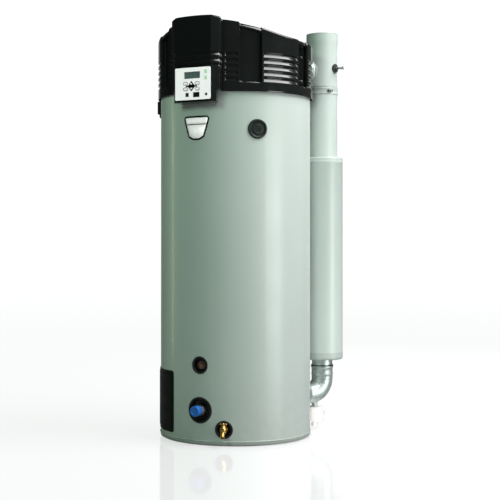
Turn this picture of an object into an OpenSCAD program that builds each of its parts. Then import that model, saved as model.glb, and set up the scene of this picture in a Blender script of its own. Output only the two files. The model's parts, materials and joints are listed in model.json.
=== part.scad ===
// Floor-standing condensing gas water heater: storage tank in a painted jacket, power burner under
// a ribbed hood, and an external flue riser that ends in a concentric flue and air adaptor.
// Millimetres. Origin on the floor at the tank's axis, +Z up, front of the heater towards -Y.
// Bearings around the tank are in degrees from the front, positive towards +X.

/* [Casing] */
// Outer diameter of the painted jacket
jacket_d = 705; // [695:1:715]
// Height of the jacket's top edge
jacket_top = 1587; // [1580:1:1595]
// Height of the base pan's rim
base_rim_h = 24; // [16:1:28]

/* [Hood] */
// Radius of the hood's round wall
hood_r = 365; // [364:1:370]
// Height of the hood's lower edge
hood_bottom = 1579; // [1576:1:1582]
// Height of the flat rear part of the roof
roof_rear_z = 1830; // [1825:1:1840]
// How much higher the roof stands at the front of the block
roof_rise = 81; // [70:1:90]
// How far the front block stands out from the tank's axis
block_front = 415; // [408:1:425]
// Height of the lowest groove
groove_low_z = 1636; // [1630:1:1640]
// Spacing of the grooves
groove_pitch = 27.25; // [24:0.25:28]

/* [Control panel] */
// Width of the white fascia
fascia_w = 178; // [170:1:180]
// Height of the white fascia
fascia_h = 143; // [140:1:146]

/* [Ports] */
// Height of the cold water inlet
cold_z = 158; // [150:1:170]
// Height of the lower sensor pocket
sensor_z = 359; // [330:1:400]
// Height of the drain valve
drain_z = 75; // [72:1:80]
// Height of the blanked relief valve port
relief_z = 1414; // [1380:1:1440]
// Height of the hot water outlet
hot_z = 1400; // [1360:1:1440]
// Outer radius of the 1 1/2 inch water threads
water_thread_r = 23.9; // [20:0.1:24]

/* [Flue] */
// Distance from the tank's axis to the flue riser's axis
flue_reach = 472; // [470:1:480]
// Bearing of the flue riser
flue_bearing = 142.75; // [140:0.25:145]
// Outer radius of the inner flue pipe
flue_r = 50; // [50:0.5:50.5]
// Outer radius of the outer air pipe
air_r = 74.5; // [74:0.5:75]
// Height of the top of the concentric adaptor
flue_top = 1926; // [1915:1:1940]
// Outer radius of the insulated sleeve
sleeve_r = 101; // [98:1:102]
// Height of the sleeve's lower end
sleeve_bottom = 337; // [330:1:345]
// Height of the sleeve's upper end
sleeve_top = 1321; // [1300:1:1340]

/* [Hidden] */
$fn = 96;

// Colours
jacket_grey = [0.71, 0.76, 0.74];
hood_black = [0.03, 0.04, 0.04];
rubber_black = [0.05, 0.05, 0.05];
steel = [0.62, 0.64, 0.65];
brass = [0.78, 0.62, 0.28];
pale_plastic = [0.9, 0.89, 0.88];

// Casing
jacket_r = jacket_d / 2;
jacket_t = 1.5;
jacket_foot = 6;
collar_proud = 2.7;
face_gap = 0.2;

// Storage tank
tank_r = 305;
tank_t = 3.2;
tank_low = 50;
tank_high = 1440;
head_rise = 60;
head_sphere_r = (tank_r * tank_r + head_rise * head_rise) / (2 * head_rise);

// Ports: [bearing, height, collar diameter, radius of the nipple's passage]
cold_port = [0, cold_z, 118, 27];
sensor_port = [0, sensor_z, 79, 21];
drain_port = [18.6, drain_z, 81, 17];
relief_bearing = 43.2;
relief_port = [relief_bearing, relief_z, 88, 27];
hot_bearing = -140;
hot_port = [hot_bearing, hot_z, 118, 27];
lined_ports = [cold_port, sensor_port, drain_port, hot_port];
collar_floor_r = 324;
collar_wall = 2.5;
collar_lip = 7;
nipple_end_r = 372;
thread_len = 28;
water_bore_r = 20.6;
relief_bore_r = 15;
relief_end_r = 326;
handhole_bearing = -56;
handhole_z = 180;
handhole_r = 52;
handhole_flange_r = 72;
handhole_face_r = 333;

anode_x = 205;
anode_y = 40;

// Burner and combustion chamber
chamber_r = 125;
chamber_low = 840;
chamber_high = 1530;
flange_r = 150;
plate_t = 12;
fan_z = 1658;
fan_r = 88;
fan_half_w = 40;
impeller_r = 70;

// Coil of the heat exchanger
coil_r = 188;
coil_tube_r = 31;
coil_turns = 5;
coil_top = 765;
coil_outlet = 70;
coil_bend = 50;
coil_spread_turns = 0.42;
// The coil ends this many degrees before it would cross the header
header_lead = 20;
coil_sides = 10;
coil_steps_per_turn = 18;

// Hood
hood_t = 4;
groove_count = 5;
groove_depth = 7;
rib_back = 9;
channel_depth = 25;
channel_ledge_z = 1614;
channel_cap = 20;
// The rear cover's grooves end this far behind the tank's axis
rear_groove_y = 28;
// Start and end bearing of each recessed channel on the right; the left is its mirror image
channels = [[29.5, 46], [79, 93]];
// Corners of the front block and of the control housing in plan, on the right
block_corners = [[90, block_front], [125, block_front - 25], [110, 340]];
housing_corners = [[90, block_front], [108, block_front - 19], [85, 335]];
split_y = -20;
// The front roof sweeps up from the flat rear roof: [distance in front of the axis, share of the rise]
roof_sweep = [[0, 0], [74, 0.027], [126, 0.075], [178, 0.18], [219, 0.32], [254, 0.47], [273, 0.545],
              [294, 0.635], [321, 0.765], [341, 0.852], [385, 0.92], [415, 1], [450, 1.09]];
housing_low = 1530;
housing_high = 1686;

// Fascia: its face is at -fascia_y
fascia_t = 2.5;
fascia_y = block_front + fascia_t;
fascia_top = housing_high - 3.5;
keypad_x = -6.5;
keypad_z = fascia_top - 82.5;
button_proud = 1.6;
button_gap = 0.35;

// Flue
pipe_t = 1.2;
outlet_z = 173;
bend_r = 70;
elbow_t = 1.5;
socket_gap = 0.3;
elbow_top = outlet_z + bend_r + 62;
adaptor_low = 1632;
socket_depth = 45;
branch_z = 1744;
branch_r = 49;
test_bearing = 79;
test_z = 1755;

// Points and frames ------------------------------------------------------------------------

function round_corner(cx, cy, r, a0, a1, n) =
    [for (i = [0:n]) let (a = a0 + (a1 - a0) * i / n) [cx + r * cos(a), cy + r * sin(a)]];

// A child's +Z points outwards at that bearing and height, starting r0 from the tank's axis
module radial(bearing, z, r0) {
    rotate([0, 0, bearing]) translate([0, -r0, z]) rotate([90, 0, 0]) children();
}

// The flue riser's own axis, standing on the floor
module at_flue() {
    rotate([0, 0, flue_bearing]) translate([0, -flue_reach, 0]) children();
}

// From the riser's axis outwards at a bearing of the heater's frame
module off_flue(bearing, z, r0) {
    rotate([0, 0, flue_bearing]) translate([0, -flue_reach, z])
        rotate([0, 0, bearing - flue_bearing]) translate([0, -r0, 0]) rotate([90, 0, 0]) children();
}

module ring(r_out, r_in, h) {
    difference() {
        cylinder(r = r_out, h = h);
        translate([0, 0, -1]) cylinder(r = r_in, h = h + 2);
    }
}

module hexagon(across_corners_r, h) {
    cylinder(r = across_corners_r, h = h, $fn = 6);
}

// A flat outline turned to face the front, from y_front back by depth
module front_extrude(y_front, depth) {
    translate([0, -y_front + depth, 0]) rotate([90, 0, 0]) linear_extrude(height = depth) children();
}

module rounded_square(w, h, r) {
    translate([-w / 2 + r, -h / 2]) square([w - 2 * r, h]);
    translate([-w / 2, -h / 2 + r]) square([w, h - 2 * r]);
    for (x = [-1, 1], y = [-1, 1]) translate([x * (w / 2 - r), y * (h / 2 - r)]) circle(r = r);
}

// Flat wedge between two bearings
module wedge(a0, a1, r) {
    mid = (a0 + a1) / 2;
    polygon([[0, 0], [r * sin(a0), -r * cos(a0)], [1.3 * r * sin(mid), -1.3 * r * cos(mid)],
             [r * sin(a1), -r * cos(a1)]]);
}

// Casing -----------------------------------------------------------------------------------

module base_pan() {
    rim_r = jacket_r + 2;
    corner = 9;
    color(jacket_grey) rotate_extrude() polygon(concat(
        [[0, 0]],
        round_corner(rim_r - corner, corner, corner, -90, 0, 5),
        [[rim_r, base_rim_h], [jacket_r + face_gap, base_rim_h], [jacket_r + face_gap, jacket_foot],
         [jacket_r - 14, jacket_foot], [jacket_r - 17, 3], [0, 3]]));
}

module jacket() {
    color(jacket_grey) difference() {
        translate([0, 0, jacket_foot]) ring(jacket_r, jacket_r - jacket_t, jacket_top - jacket_foot);
        for (p = lined_ports) radial(p[0], p[1], jacket_r - 40)
            cylinder(r = p[2] / 2 - collar_lip + 0.4, h = 60);
        radial(relief_bearing, relief_z, jacket_r - 40) cylinder(r = 38, h = 60);
        radial(handhole_bearing, handhole_z, jacket_r - 60) cylinder(r = handhole_flange_r + 8, h = 90);
        radial(flue_bearing, outlet_z, jacket_r - 60) cylinder(r = flue_r + 6, h = 90);
    }
}

module insulation_foam() {
    foam_r = jacket_r - jacket_t - face_gap;
    color([0.93, 0.88, 0.7]) {
        difference() {
            translate([0, 0, 30]) ring(foam_r, tank_r + 0.3, 1440);
            for (p = concat(lined_ports, [relief_port]))
                radial(p[0], p[1], tank_r - 20) cylinder(r = p[2] / 2 - collar_lip + 0.4, h = 90);
            radial(handhole_bearing, handhole_z, tank_r - 20)
                cylinder(r = handhole_flange_r + 8, h = 90);
            radial(flue_bearing, outlet_z, tank_r - 20) cylinder(r = flue_r + 6, h = 90);
        }
        at_flue() difference() {
            translate([0, 0, sleeve_bottom + 16])
                cylinder(r = sleeve_r - 2, h = sleeve_top - sleeve_bottom - 20);
            cylinder(r = flue_r + 0.4, h = 2000);
            translate([0, 0, sleeve_top - 24]) cylinder(r = air_r + 0.4, h = 60);
        }
    }
}

module port_collar(p) {
    r = p[2] / 2;
    proud_r = jacket_r + collar_proud;
    intersection() {
        cylinder(r = proud_r, h = jacket_top + 100);
        difference() {
            union() {
                difference() {
                    radial(p[0], p[1], jacket_r - 40) cylinder(r = r, h = 60);
                    translate([0, 0, -1]) cylinder(r = jacket_r + face_gap, h = jacket_top + 200);
                }
                radial(p[0], p[1], collar_floor_r) cylinder(r = r - collar_lip, h = 60);
            }
            radial(p[0], p[1], collar_floor_r + collar_wall)
                cylinder(r = r - collar_lip - collar_wall, h = 70);
            radial(p[0], p[1], collar_floor_r - 5) cylinder(r = p[3], h = 20);
        }
    }
}

module port_collars() {
    color(rubber_black) {
        for (p = lined_ports) port_collar(p);
        intersection() {
            cylinder(r = jacket_r + collar_proud, h = 500);
            difference() {
                radial(flue_bearing, outlet_z, jacket_r - 40) cylinder(r = flue_r + 18, h = 60);
                cylinder(r = jacket_r + face_gap, h = 500);
                radial(flue_bearing, outlet_z, jacket_r - 50) cylinder(r = flue_r + 1, h = 80);
            }
        }
    }
}

// Access cover over the cleaning hand hole, curved like the jacket
module inspection_cover() {
    from = -86;
    to = -26;
    z_low = 42;
    z_high = 322;
    r_in = jacket_r + 0.3;
    color([0.05, 0.06, 0.05]) rotate([0, 0, from - 90]) rotate_extrude(angle = to - from)
        translate([r_in, z_low]) square([4.7, z_high - z_low]);
}

// Storage tank -----------------------------------------------------------------------------

module tank_shell() {
    color(steel) difference() {
        translate([0, 0, tank_low]) ring(tank_r, tank_r - tank_t, tank_high - tank_low);
        for (p = concat(lined_ports, [relief_port]))
            radial(p[0], p[1], tank_r - 60) cylinder(r = p[3] - 2.6, h = 90);
        radial(handhole_bearing, handhole_z, tank_r - 90) cylinder(r = handhole_r + 0.2, h = 120);
        radial(flue_bearing, outlet_z, tank_r - 60) cylinder(r = flue_r + 0.2, h = 90);
    }
}

// Domed sheet from reach r0 to reach r1, tangent to the sphere whose centre is at height zc
module dome(zc, r0, r1) {
    a0 = acos(r0 / head_sphere_r);
    a1 = acos(r1 / head_sphere_r);
    translate([0, 0, zc]) rotate_extrude() polygon(concat(
        round_corner(0, 0, head_sphere_r, a0, a1, 8),
        round_corner(0, 0, head_sphere_r - tank_t, a1, a0, 8)));
}

module tank_heads() {
    centre_drop = head_rise - head_sphere_r;
    color(steel) {
        // convex top, open in the middle for the combustion chamber
        difference() {
            dome(tank_high + centre_drop, chamber_r + 0.8, tank_r - tank_t - 0.6);
            for (x = [-1, 1]) translate([x * anode_x, anode_y, tank_high - 1]) cylinder(r = 17, h = 100);
        }
        // bottom, domed upwards into the tank
        dome(tank_low + centre_drop, 0, tank_r - tank_t - 0.6);
    }
}

// One pipe stub welded into the tank, with a plain cylinder at the thread's outer radius
module nipple(p, pipe_r, thread_r, bore_r, end_r, thread) {
    difference() {
        union() {
            radial(p[0], p[1], tank_r - 14) cylinder(r = pipe_r, h = end_r - thread - tank_r + 14);
            radial(p[0], p[1], end_r - thread) cylinder(r = thread_r, h = thread);
        }
        radial(p[0], p[1], tank_r - 30) cylinder(r = bore_r, h = 200);
    }
}

module tank_nipples() {
    color(steel) {
        nipple(cold_port, cold_port[3] - 2.7, water_thread_r, water_bore_r, nipple_end_r, thread_len);
        nipple(hot_port, hot_port[3] - 2.7, water_thread_r, water_bore_r, nipple_end_r, thread_len);
        nipple(relief_port, 24, 22, relief_bore_r, relief_end_r, 8);
        nipple(sensor_port, sensor_port[3] - 2.7, 18, 11.5, 334, 6);
        nipple(drain_port, drain_port[3] - 2.7, 14, 11.4, 334, 6);
    }
}

module anode_rods() {
    color([0.75, 0.75, 0.72]) for (x = [-1, 1]) translate([x * anode_x, anode_y, 0]) {
        translate([0, 0, 850]) cylinder(r = 13, h = 610);
        translate([0, 0, 1460]) cylinder(r = 16, h = 42);
        translate([0, 0, 1502]) hexagon(22, 16);
        translate([0, 0, 1518]) cylinder(r = 4, h = 12);
    }
}

// Hand hole for cleaning, behind the inspection cover
module handhole_neck() {
    color(steel) difference() {
        union() {
            radial(handhole_bearing, handhole_z, tank_r - 16)
                cylinder(r = handhole_r, h = handhole_face_r - tank_r + 16);
            radial(handhole_bearing, handhole_z, handhole_face_r - 8)
                cylinder(r = handhole_flange_r, h = 8);
        }
        radial(handhole_bearing, handhole_z, tank_r - 40) cylinder(r = handhole_r - 5, h = 120);
        for (i = [0:5]) radial(handhole_bearing, handhole_z, handhole_face_r - 20)
            rotate([0, 0, i * 60 + 30]) translate([62, 0, 0]) cylinder(r = 4.3, h = 60);
    }
}

module handhole_plate() {
    color([0.45, 0.46, 0.47]) difference() {
        radial(handhole_bearing, handhole_z, handhole_face_r + 0.1) {
            cylinder(r = handhole_flange_r, h = 7);
            translate([0, 0, 7]) cylinder(r = 30, h = 2);
        }
        for (i = [0:5]) radial(handhole_bearing, handhole_z, handhole_face_r - 20)
            rotate([0, 0, i * 60 + 30]) translate([62, 0, 0]) cylinder(r = 4.3, h = 60);
    }
}

// A bolt with its head on top, its shank pointing down
module bolt(shank_r, shank_l, head_r, head_h) {
    translate([0, 0, -shank_l]) cylinder(r = shank_r, h = shank_l);
    hexagon(head_r, head_h);
}

module flange_bolts() {
    color(steel) {
        for (i = [0:5]) radial(handhole_bearing, handhole_z, handhole_face_r + 7.2)
            rotate([0, 0, i * 60 + 30]) translate([62, 0, 0]) bolt(4, 15, 7, 5);
        for (i = [0:7]) rotate([0, 0, i * 45 + 22.5])
            translate([137, 0, chamber_high + 3 + plate_t + 0.1])
            bolt(4, 22, 7, 5.5);
    }
}

// Combustion chamber, heat exchanger and burner ----------------------------------------------

module combustion_chamber() {
    color([0.5, 0.5, 0.5]) difference() {
        union() {
            translate([0, 0, chamber_low]) cylinder(r = chamber_r, h = chamber_high - chamber_low);
            translate([0, 0, chamber_high - 10]) cylinder(r = flange_r, h = 10);
        }
        translate([0, 0, chamber_low + 5]) cylinder(r = chamber_r - 4, h = chamber_high);
        translate(polar(coil_outlet, bend_from, chamber_low - 5)) cylinder(r = coil_tube_r - 2, h = 20);
        for (i = [0:7]) rotate([0, 0, i * 45 + 22.5]) translate([137, 0, chamber_high - 20])
            cylinder(r = 4.2, h = 40);
    }
}

// Centre line of the coil: down from the chamber's floor, outwards, and down the turns to the header
outlet_turn = atan(coil_bend / coil_outlet);
bend_from = flue_bearing - header_lead - 360 * coil_turns - outlet_turn;
spread_from = norm([coil_outlet, coil_bend]);
coil_steps = round(coil_turns * coil_steps_per_turn);
function polar(reach, bearing, z) = [reach * sin(bearing), -reach * cos(bearing), z];
function drop_point(a) = let (along = coil_bend * (1 - cos(a)))
    polar(norm([coil_outlet, along]), bend_from + atan(along / coil_outlet),
        coil_top + coil_bend - coil_bend * sin(a));
function turn_point(s) = polar(
    spread_from + (coil_r - spread_from) * sin(90 * min(1, s * coil_turns / coil_spread_turns)),
    bend_from + outlet_turn + 360 * coil_turns * s,
    max(outlet_z, coil_top - (coil_top - outlet_z) * s / 0.96));
coil_path = concat(
    [polar(coil_outlet, bend_from, chamber_low - 0.3)],
    [for (a = [0:15:75]) drop_point(a)],
    [for (i = [0:coil_steps]) turn_point(i / coil_steps)]);

function unit(v) = v / norm(v);
function heading(p, i) = unit(p[min(i + 1, len(p) - 1)] - p[max(i - 1, 0)]);
function across(d) = unit(cross(d, abs(d[2]) > 0.8 ? [1, 0, 0] : [0, 0, 1]));
// Sideways direction carried along a path, so that the rings don't twist
function carried(p, i, prev) = let (d = heading(p, i)) unit(prev - d * (prev * d));
function carried_list(p, i = 0, prev = undef, out = []) = i >= len(p) ? out
    : let (s = i == 0 ? across(heading(p, 0)) : carried(p, i, prev))
        carried_list(p, i + 1, s, concat(out, [s]));
function ring_points(p, d, s, r, n) = let (u = cross(d, s))
    [for (k = [0:n - 1]) p + r * (cos(k * 360 / n) * s + sin(k * 360 / n) * u)];

// Hollow tube swept along a path, as one polyhedron
module swept_tube(path, r_out, r_in, n) {
    sides = carried_list(path);
    last = len(path) - 1;
    outer = [for (i = [0:last]) each ring_points(path[i], heading(path, i), sides[i], r_out, n)];
    inner = [for (i = [0:last]) each ring_points(path[i], heading(path, i), sides[i], r_in, n)];
    m = len(outer);
    wall = [for (i = [0:last - 1], k = [0:n - 1]) let (j = (k + 1) % n)
        each [[i * n + k, i * n + j, (i + 1) * n + j], [i * n + k, (i + 1) * n + j, (i + 1) * n + k],
              [m + i * n + j, m + i * n + k, m + (i + 1) * n + k],
              [m + i * n + j, m + (i + 1) * n + k, m + (i + 1) * n + j]]];
    ends = [for (k = [0:n - 1]) let (j = (k + 1) % n, e = last * n)
        each [[k, m + k, m + j], [k, m + j, j],
            [e + k, e + j, m + e + j], [e + k, m + e + j, m + e + k]]];
    polyhedron(points = concat(outer, inner), faces = [for (f = concat(wall, ends)) [f[0], f[2], f[1]]]);
}

module heat_exchanger_coil() {
    color([0.55, 0.56, 0.58]) swept_tube(coil_path, coil_tube_r, coil_tube_r - 2.5, coil_sides);
}

// Collects the coil's flue gas and carries it out through the jacket
module flue_header() {
    end_bearing = flue_bearing - header_lead;
    // in line with the coil's last straight
    stub_bearing = end_bearing - 180 / coil_steps_per_turn;
    color([0.55, 0.56, 0.58]) difference() {
        union() {
            radial(flue_bearing, outlet_z, 120) cylinder(r = flue_r, h = 396 - 120);
            translate(polar(coil_r, end_bearing, outlet_z)) rotate([0, 90, stub_bearing])
                translate([0, 0, 0.4]) cylinder(r = coil_tube_r, h = 50);
        }
        radial(flue_bearing, outlet_z, 123) cylinder(r = flue_r - 2, h = 300);
        translate(polar(coil_r, end_bearing, outlet_z)) rotate([0, 90, stub_bearing])
            translate([0, 0, -1]) cylinder(r = coil_tube_r - 2.5, h = 45);
    }
}

module burner() {
    r = 46;
    length = 300;
    top = chamber_high + 2.5;
    color([0.6, 0.6, 0.62]) difference() {
        union() {
            translate([0, 0, top - length]) cylinder(r = r, h = length);
            translate([0, 0, chamber_high + 0.2]) cylinder(r = 78, h = 2.3);
        }
        translate([0, 0, top - length + 2]) cylinder(r = r - 2, h = length + 5);
        for (i = [0:11], half = [0, 1]) rotate([0, 0, i * 30 + half * 15])
            translate([r - 8, -2.5, top - length + 22 + half * 118]) cube([20, 5, 104]);
    }
}

module burner_plate() {
    low = chamber_high + 3;
    color([0.68, 0.69, 0.7]) difference() {
        union() {
            translate([0, 0, low]) cylinder(r = flange_r, h = plate_t);
            translate([0, 0, low + plate_t]) cylinder(r = 58, h = 4);
        }
        translate([0, 0, low - 1]) cylinder(r = 37, h = 40);
        for (i = [0:7]) rotate([0, 0, i * 45 + 22.5]) translate([137, 0, low - 1])
            cylinder(r = 4.2, h = 40);
        for (x = [-1, 1]) translate([x * 88, -30, low - 1]) cylinder(r = 6.2, h = 40);
    }
}

module ignition_electrodes() {
    low = chamber_high + 3;
    color([0.92, 0.92, 0.9]) for (x = [-1, 1]) translate([x * 88, -30, 0]) {
        translate([0, 0, low - 70]) cylinder(r = 1.6, h = 70);
        translate([0, 0, low]) cylinder(r = 6, h = 34);
        translate([0, 0, low + plate_t + 0.1]) cylinder(r = 11, h = 5);
    }
}

module fan_housing() {
    neck_low = chamber_high + 3 + plate_t + 4.1;
    color([0.6, 0.61, 0.62]) difference() {
        union() {
            translate([0, fan_half_w, fan_z]) rotate([90, 0, 0]) cylinder(r = fan_r, h = 2 * fan_half_w);
            translate([0, 0, neck_low]) cylinder(r = 38, h = fan_z - neck_low);
            translate([0, 0, neck_low]) cylinder(r = 56, h = 6);
        }
        translate([0, fan_half_w - 4, fan_z]) rotate([90, 0, 0])
            cylinder(r = fan_r - 4, h = 2 * fan_half_w - 8);
        translate([0, 0, neck_low - 1]) cylinder(r = 34, h = fan_z - neck_low);
        translate([0, 0, fan_z]) rotate([90, 0, 0]) cylinder(r = 42, h = 60);
        translate([0, 60, fan_z]) rotate([90, 0, 0]) cylinder(r = 8, h = 60);
    }
}

module fan_impeller() {
    blades = 18;
    color([0.3, 0.31, 0.32]) translate([0, 0, fan_z]) rotate([90, 0, 0]) {
        difference() {
            translate([0, 0, -22]) cylinder(r = impeller_r, h = 3);
            translate([0, 0, -30]) cylinder(r = 4, h = 20);
        }
        translate([0, 0, -19]) cylinder(r = 14, h = 16);
        translate([0, 0, -60]) cylinder(r = 5, h = 45);
        translate([0, 0, 22]) ring(impeller_r, 50, 3);
        for (i = [0:blades - 1]) rotate([0, 0, i * 360 / blades]) translate([44, -1, -19.5])
            cube([24, 2, 42]);
    }
}

module fan_motor() {
    color([0.12, 0.12, 0.13]) difference() {
        union() {
            translate([0, fan_half_w + 62, fan_z]) rotate([90, 0, 0]) cylinder(r = 48, h = 60);
            translate([0, fan_half_w + 4.5, fan_z]) rotate([90, 0, 0]) cylinder(r = 60, h = 4);
        }
        translate([0, 60.5, fan_z]) rotate([90, 0, 0]) cylinder(r = 5.06, h = 40);
        for (i = [0:11]) translate([0, 0, fan_z]) rotate([0, i * 30, 0])
            translate([43, fan_half_w + 20, -1.5])
            cube([10, 36, 3]);
    }
}

module venturi_mixer() {
    color([0.66, 0.67, 0.68]) translate([0, -fan_half_w - 0.2, fan_z]) rotate([90, 0, 0]) difference() {
        union() {
            cylinder(r = 52, h = 5);
            cylinder(r = 40, h = 70);
            translate([0, 0, 70]) cylinder(r1 = 40, r2 = 52, h = 40);
        }
        translate([0, 0, -1]) cylinder(r = 30, h = 72);
        translate([0, 0, 70]) cylinder(r1 = 30, r2 = 49, h = 41);
        translate([0, 0, 35]) rotate([0, -90, 0]) cylinder(r = 8, h = 60);
    }
}

gas_x = -128;
gas_z = 1652;
gas_valve_y = -70;

module gas_valve() {
    color([0.35, 0.36, 0.38]) {
        difference() {
            translate([gas_x - 30, gas_valve_y - 50, gas_z - 36]) cube([60, 84, 62]);
            translate([gas_x, gas_valve_y + 35, gas_z]) rotate([90, 0, 0]) cylinder(r = 13.5, h = 16);
        }
        for (y = [-28, 10]) translate([gas_x, gas_valve_y + y, gas_z + 26]) {
            cylinder(r = 15, h = 30);
            translate([0, 0, 30]) cylinder(r = 8, h = 4);
        }
        translate([gas_x + 30, -fan_half_w - 35.2, gas_z + 6]) rotate([0, 90, 0])
            cylinder(r = 7.6, h = 64);
    }
}

module gas_pipe() {
    color([0.85, 0.72, 0.15]) difference() {
        union() {
            translate([gas_x, 362, gas_z]) rotate([90, 0, 0])
                cylinder(r = 12.6, h = 362 - gas_valve_y - 20);
            translate([gas_x, 366, gas_z]) rotate([90, 0, 0]) hexagon(17, 12);
            translate([gas_x, 400, gas_z]) rotate([90, 0, 0]) cylinder(r = 13.1, h = 34);
        }
        translate([gas_x, 410, gas_z]) rotate([90, 0, 0]) cylinder(r = 10.5, h = 600);
    }
}

// Hood ---------------------------------------------------------------------------------------

// Outline in plan from its corners on the right, inset by t
module front_outline(corners, t) {
    right = [for (i = [0:2]) [corners[i][0] - (i == 0 ? 0.5 : 1) * t,
        -(corners[i][1] - (i == 0 ? 1 : 0.5) * t)]];
    polygon(concat(right, [[right[2][0], -300], [-right[2][0], -300]],
                   [for (i = [2:-1:0]) [-right[i][0], right[i][1]]]));
}

module block_outline(t) { front_outline(block_corners, t); }
module housing_outline(t) { front_outline(housing_corners, t); }

// One half of the hood in plan, inset by t; over carries it past the joint between the halves
module hood_plan(rear, t, over) {
    intersection() {
        union() {
            rotate(rear ? -90 : 90) circle(r = hood_r - t);
            if (!rear) block_outline(t);
        }
        translate([-600, rear ? split_y + 0.25 - over : split_y - 0.25 + over - 600])
            square([1200, 600]);
    }
}

// The recessed channels in plan, grown by t
module channel_plan(t) {
    spread = t / hood_r * 57.3;
    for (c = channels, m = [0, 1]) mirror([m, 0]) difference() {
        wedge(c[0] - spread, c[1] + spread, hood_r + 30);
        rotate(45) circle(r = hood_r - channel_depth - t);
    }
}

// Everything higher than drop below the roof
module above_roof(rear, drop) {
    if (rear) translate([-600, -100, roof_rear_z - drop]) cube([1200, 600, 300]);
    else translate([-600, 0, 0]) rotate([90, 0, 90]) linear_extrude(height = 1200) polygon(concat(
        [[100, roof_rear_z + 300], [100, roof_rear_z - drop]],
        [for (p = roof_sweep) [-p[0], roof_rear_z - drop + roof_rise * p[1]]],
        [[-450, roof_rear_z + 300]]));
}

module hood_solid(rear, low, t, over) {
    difference() {
        translate([0, 0, low]) linear_extrude(height = 400) hood_plan(rear, t, over);
        // the channels end a little below the roof
        difference() {
            translate([0, 0, channel_ledge_z - t]) linear_extrude(height = 500) channel_plan(t);
            above_roof(rear, channel_cap - t);
        }
        above_roof(rear, t);
    }
}

// Grooves run round the wall between the channels, each with a sloping lower shoulder
module groove_profiles() {
    for (i = [0:groove_count - 1]) translate([hood_r, groove_low_z + i * groove_pitch])
        polygon([[-groove_depth, -2], [-groove_depth, 4], [1, 6], [1, -8]]);
}

module round_grooves(spans) {
    for (s = spans) rotate([0, 0, s[0] - 90]) rotate_extrude(angle = s[1] - s[0]) groove_profiles();
}

module rear_grooves() {
    difference() {
        rotate_extrude() groove_profiles();
        translate([-600, -600, hood_bottom]) cube([1200, 600 + rear_groove_y, 300]);
    }
}

module block_grooves() {
    for (i = [0:groove_count - 1]) translate([0, 0, groove_low_z + i * groove_pitch - 5])
        linear_extrude(height = 10) difference() {
            block_outline(-4);
            block_outline(groove_depth - 1);
            translate([-200, -353]) square([400, 200]);
        }
}

module hood_shell(rear) {
    rib_low = groove_low_z - 14;
    rib_high = groove_low_z + (groove_count - 1) * groove_pitch + 9;
    difference() {
        hood_solid(rear, hood_bottom, 0, 0);
        // thicker wall behind the grooves, thin elsewhere
        hood_solid(rear, rib_low, rib_back, 2);
        difference() {
            hood_solid(rear, hood_bottom - 1, hood_t, 1);
            translate([0, 0, rib_low]) cylinder(r = 600, h = rib_high - rib_low);
        }
    }
    // lip that rests against the jacket's top edge
    intersection() {
        translate([0, 0, hood_bottom]) ring(hood_r - 1, jacket_r + 0.4, 3);
        translate([-600, rear ? split_y + 0.25 : split_y - 600.25, hood_bottom - 5])
            cube([1200, 600, 60]);
    }
}

module screw_holes() {
    for (m = [0, 1], z = [1650, 1760]) mirror([m, 0, 0]) {
        radial(82, z, 300) cylinder(r = 2.1, h = 80);
        radial(90.5, z, 300) cylinder(r = 2.1, h = 80);
    }
}

module hood_front() {
    color(hood_black) difference() {
        hood_shell(false);
        round_grooves([[21, 28], [47.5, 77.5], [-77.5, -47.5], [-28, -21]]);
        block_grooves();
        // opening for the control housing
        translate([0, 0, hood_bottom - 1]) linear_extrude(height = housing_high + 1 - hood_bottom)
            housing_outline(-0.3);
        // opening above the cable entry box
        radial(-80, 1586, hood_r - 14) translate([-50, -12, -10]) cube([100, 20, 16]);
        screw_holes();
    }
}

module hood_rear() {
    color(hood_black) difference() {
        difference() {
            hood_shell(true);
            rear_grooves();
            // joint line down the middle of the back
            translate([-1.5, hood_r - 0.8, hood_bottom - 1]) cube([3, 5, 260]);
        }
        radial(flue_bearing, branch_z, hood_r - 40) cylinder(r = 56, h = 80);
        translate([gas_x, 420, gas_z]) rotate([90, 0, 0]) cylinder(r = 16, h = 120);
        screw_holes();
    }
}

module hood_screws() {
    seat = hood_r - channel_depth + 0.1;
    color([0.25, 0.26, 0.27]) for (m = [0, 1], z = [1650, 1760], a = [82, 90.5]) mirror([m, 0, 0])
        radial(a, z, seat) difference() {
            union() {
                cylinder(r = 5.5, h = 3);
                translate([0, 0, -14]) cylinder(r = 2, h = 14.5);
            }
            translate([-4, -0.6, 1.6]) cube([8, 1.2, 3]);
            translate([-0.6, -4, 1.6]) cube([1.2, 8, 3]);
        }
}

// Flat-faced box under the hood's left edge, where the cables come in
cable_bearing = -80;
cable_face = 366;
gland_spread = 50;
gland_reach = 357.6;

module cable_entry_box() {
    low = 1518;
    high = hood_bottom - 0.3;
    color(hood_black) difference() {
        rotate([0, 0, cable_bearing]) translate([-75, -cable_face, low]) cube([150, 30, high - low]);
        cylinder(r = jacket_r + 0.3, h = 2000);
        difference() {
            rotate([0, 0, cable_bearing]) translate([-72.5, -cable_face + 2.5, low + 3])
                cube([145, 40, 200]);
            cylinder(r = jacket_r + 2.5, h = 2000);
        }
        for (s = [-1, 1]) rotate([0, 0, cable_bearing])
            translate([s * gland_spread, -gland_reach, low - 1])
            cylinder(r = 6.1, h = 10);
    }
}

module cable_glands() {
    low = 1518;
    color([0.2, 0.2, 0.21]) for (s = [-1, 1])
        rotate([0, 0, cable_bearing]) translate([s * gland_spread, -gland_reach, low]) difference() {
            union() {
                translate([0, 0, -8]) rotate([0, 0, 30]) hexagon(7.6, 7.9);
                translate([0, 0, -16]) cylinder(r1 = 5, r2 = 6.8, h = 8);
                translate([0, 0, -1]) cylinder(r = 6, h = 10);
            }
            translate([0, 0, -17]) cylinder(r = 3.2, h = 40);
        }
}

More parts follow.
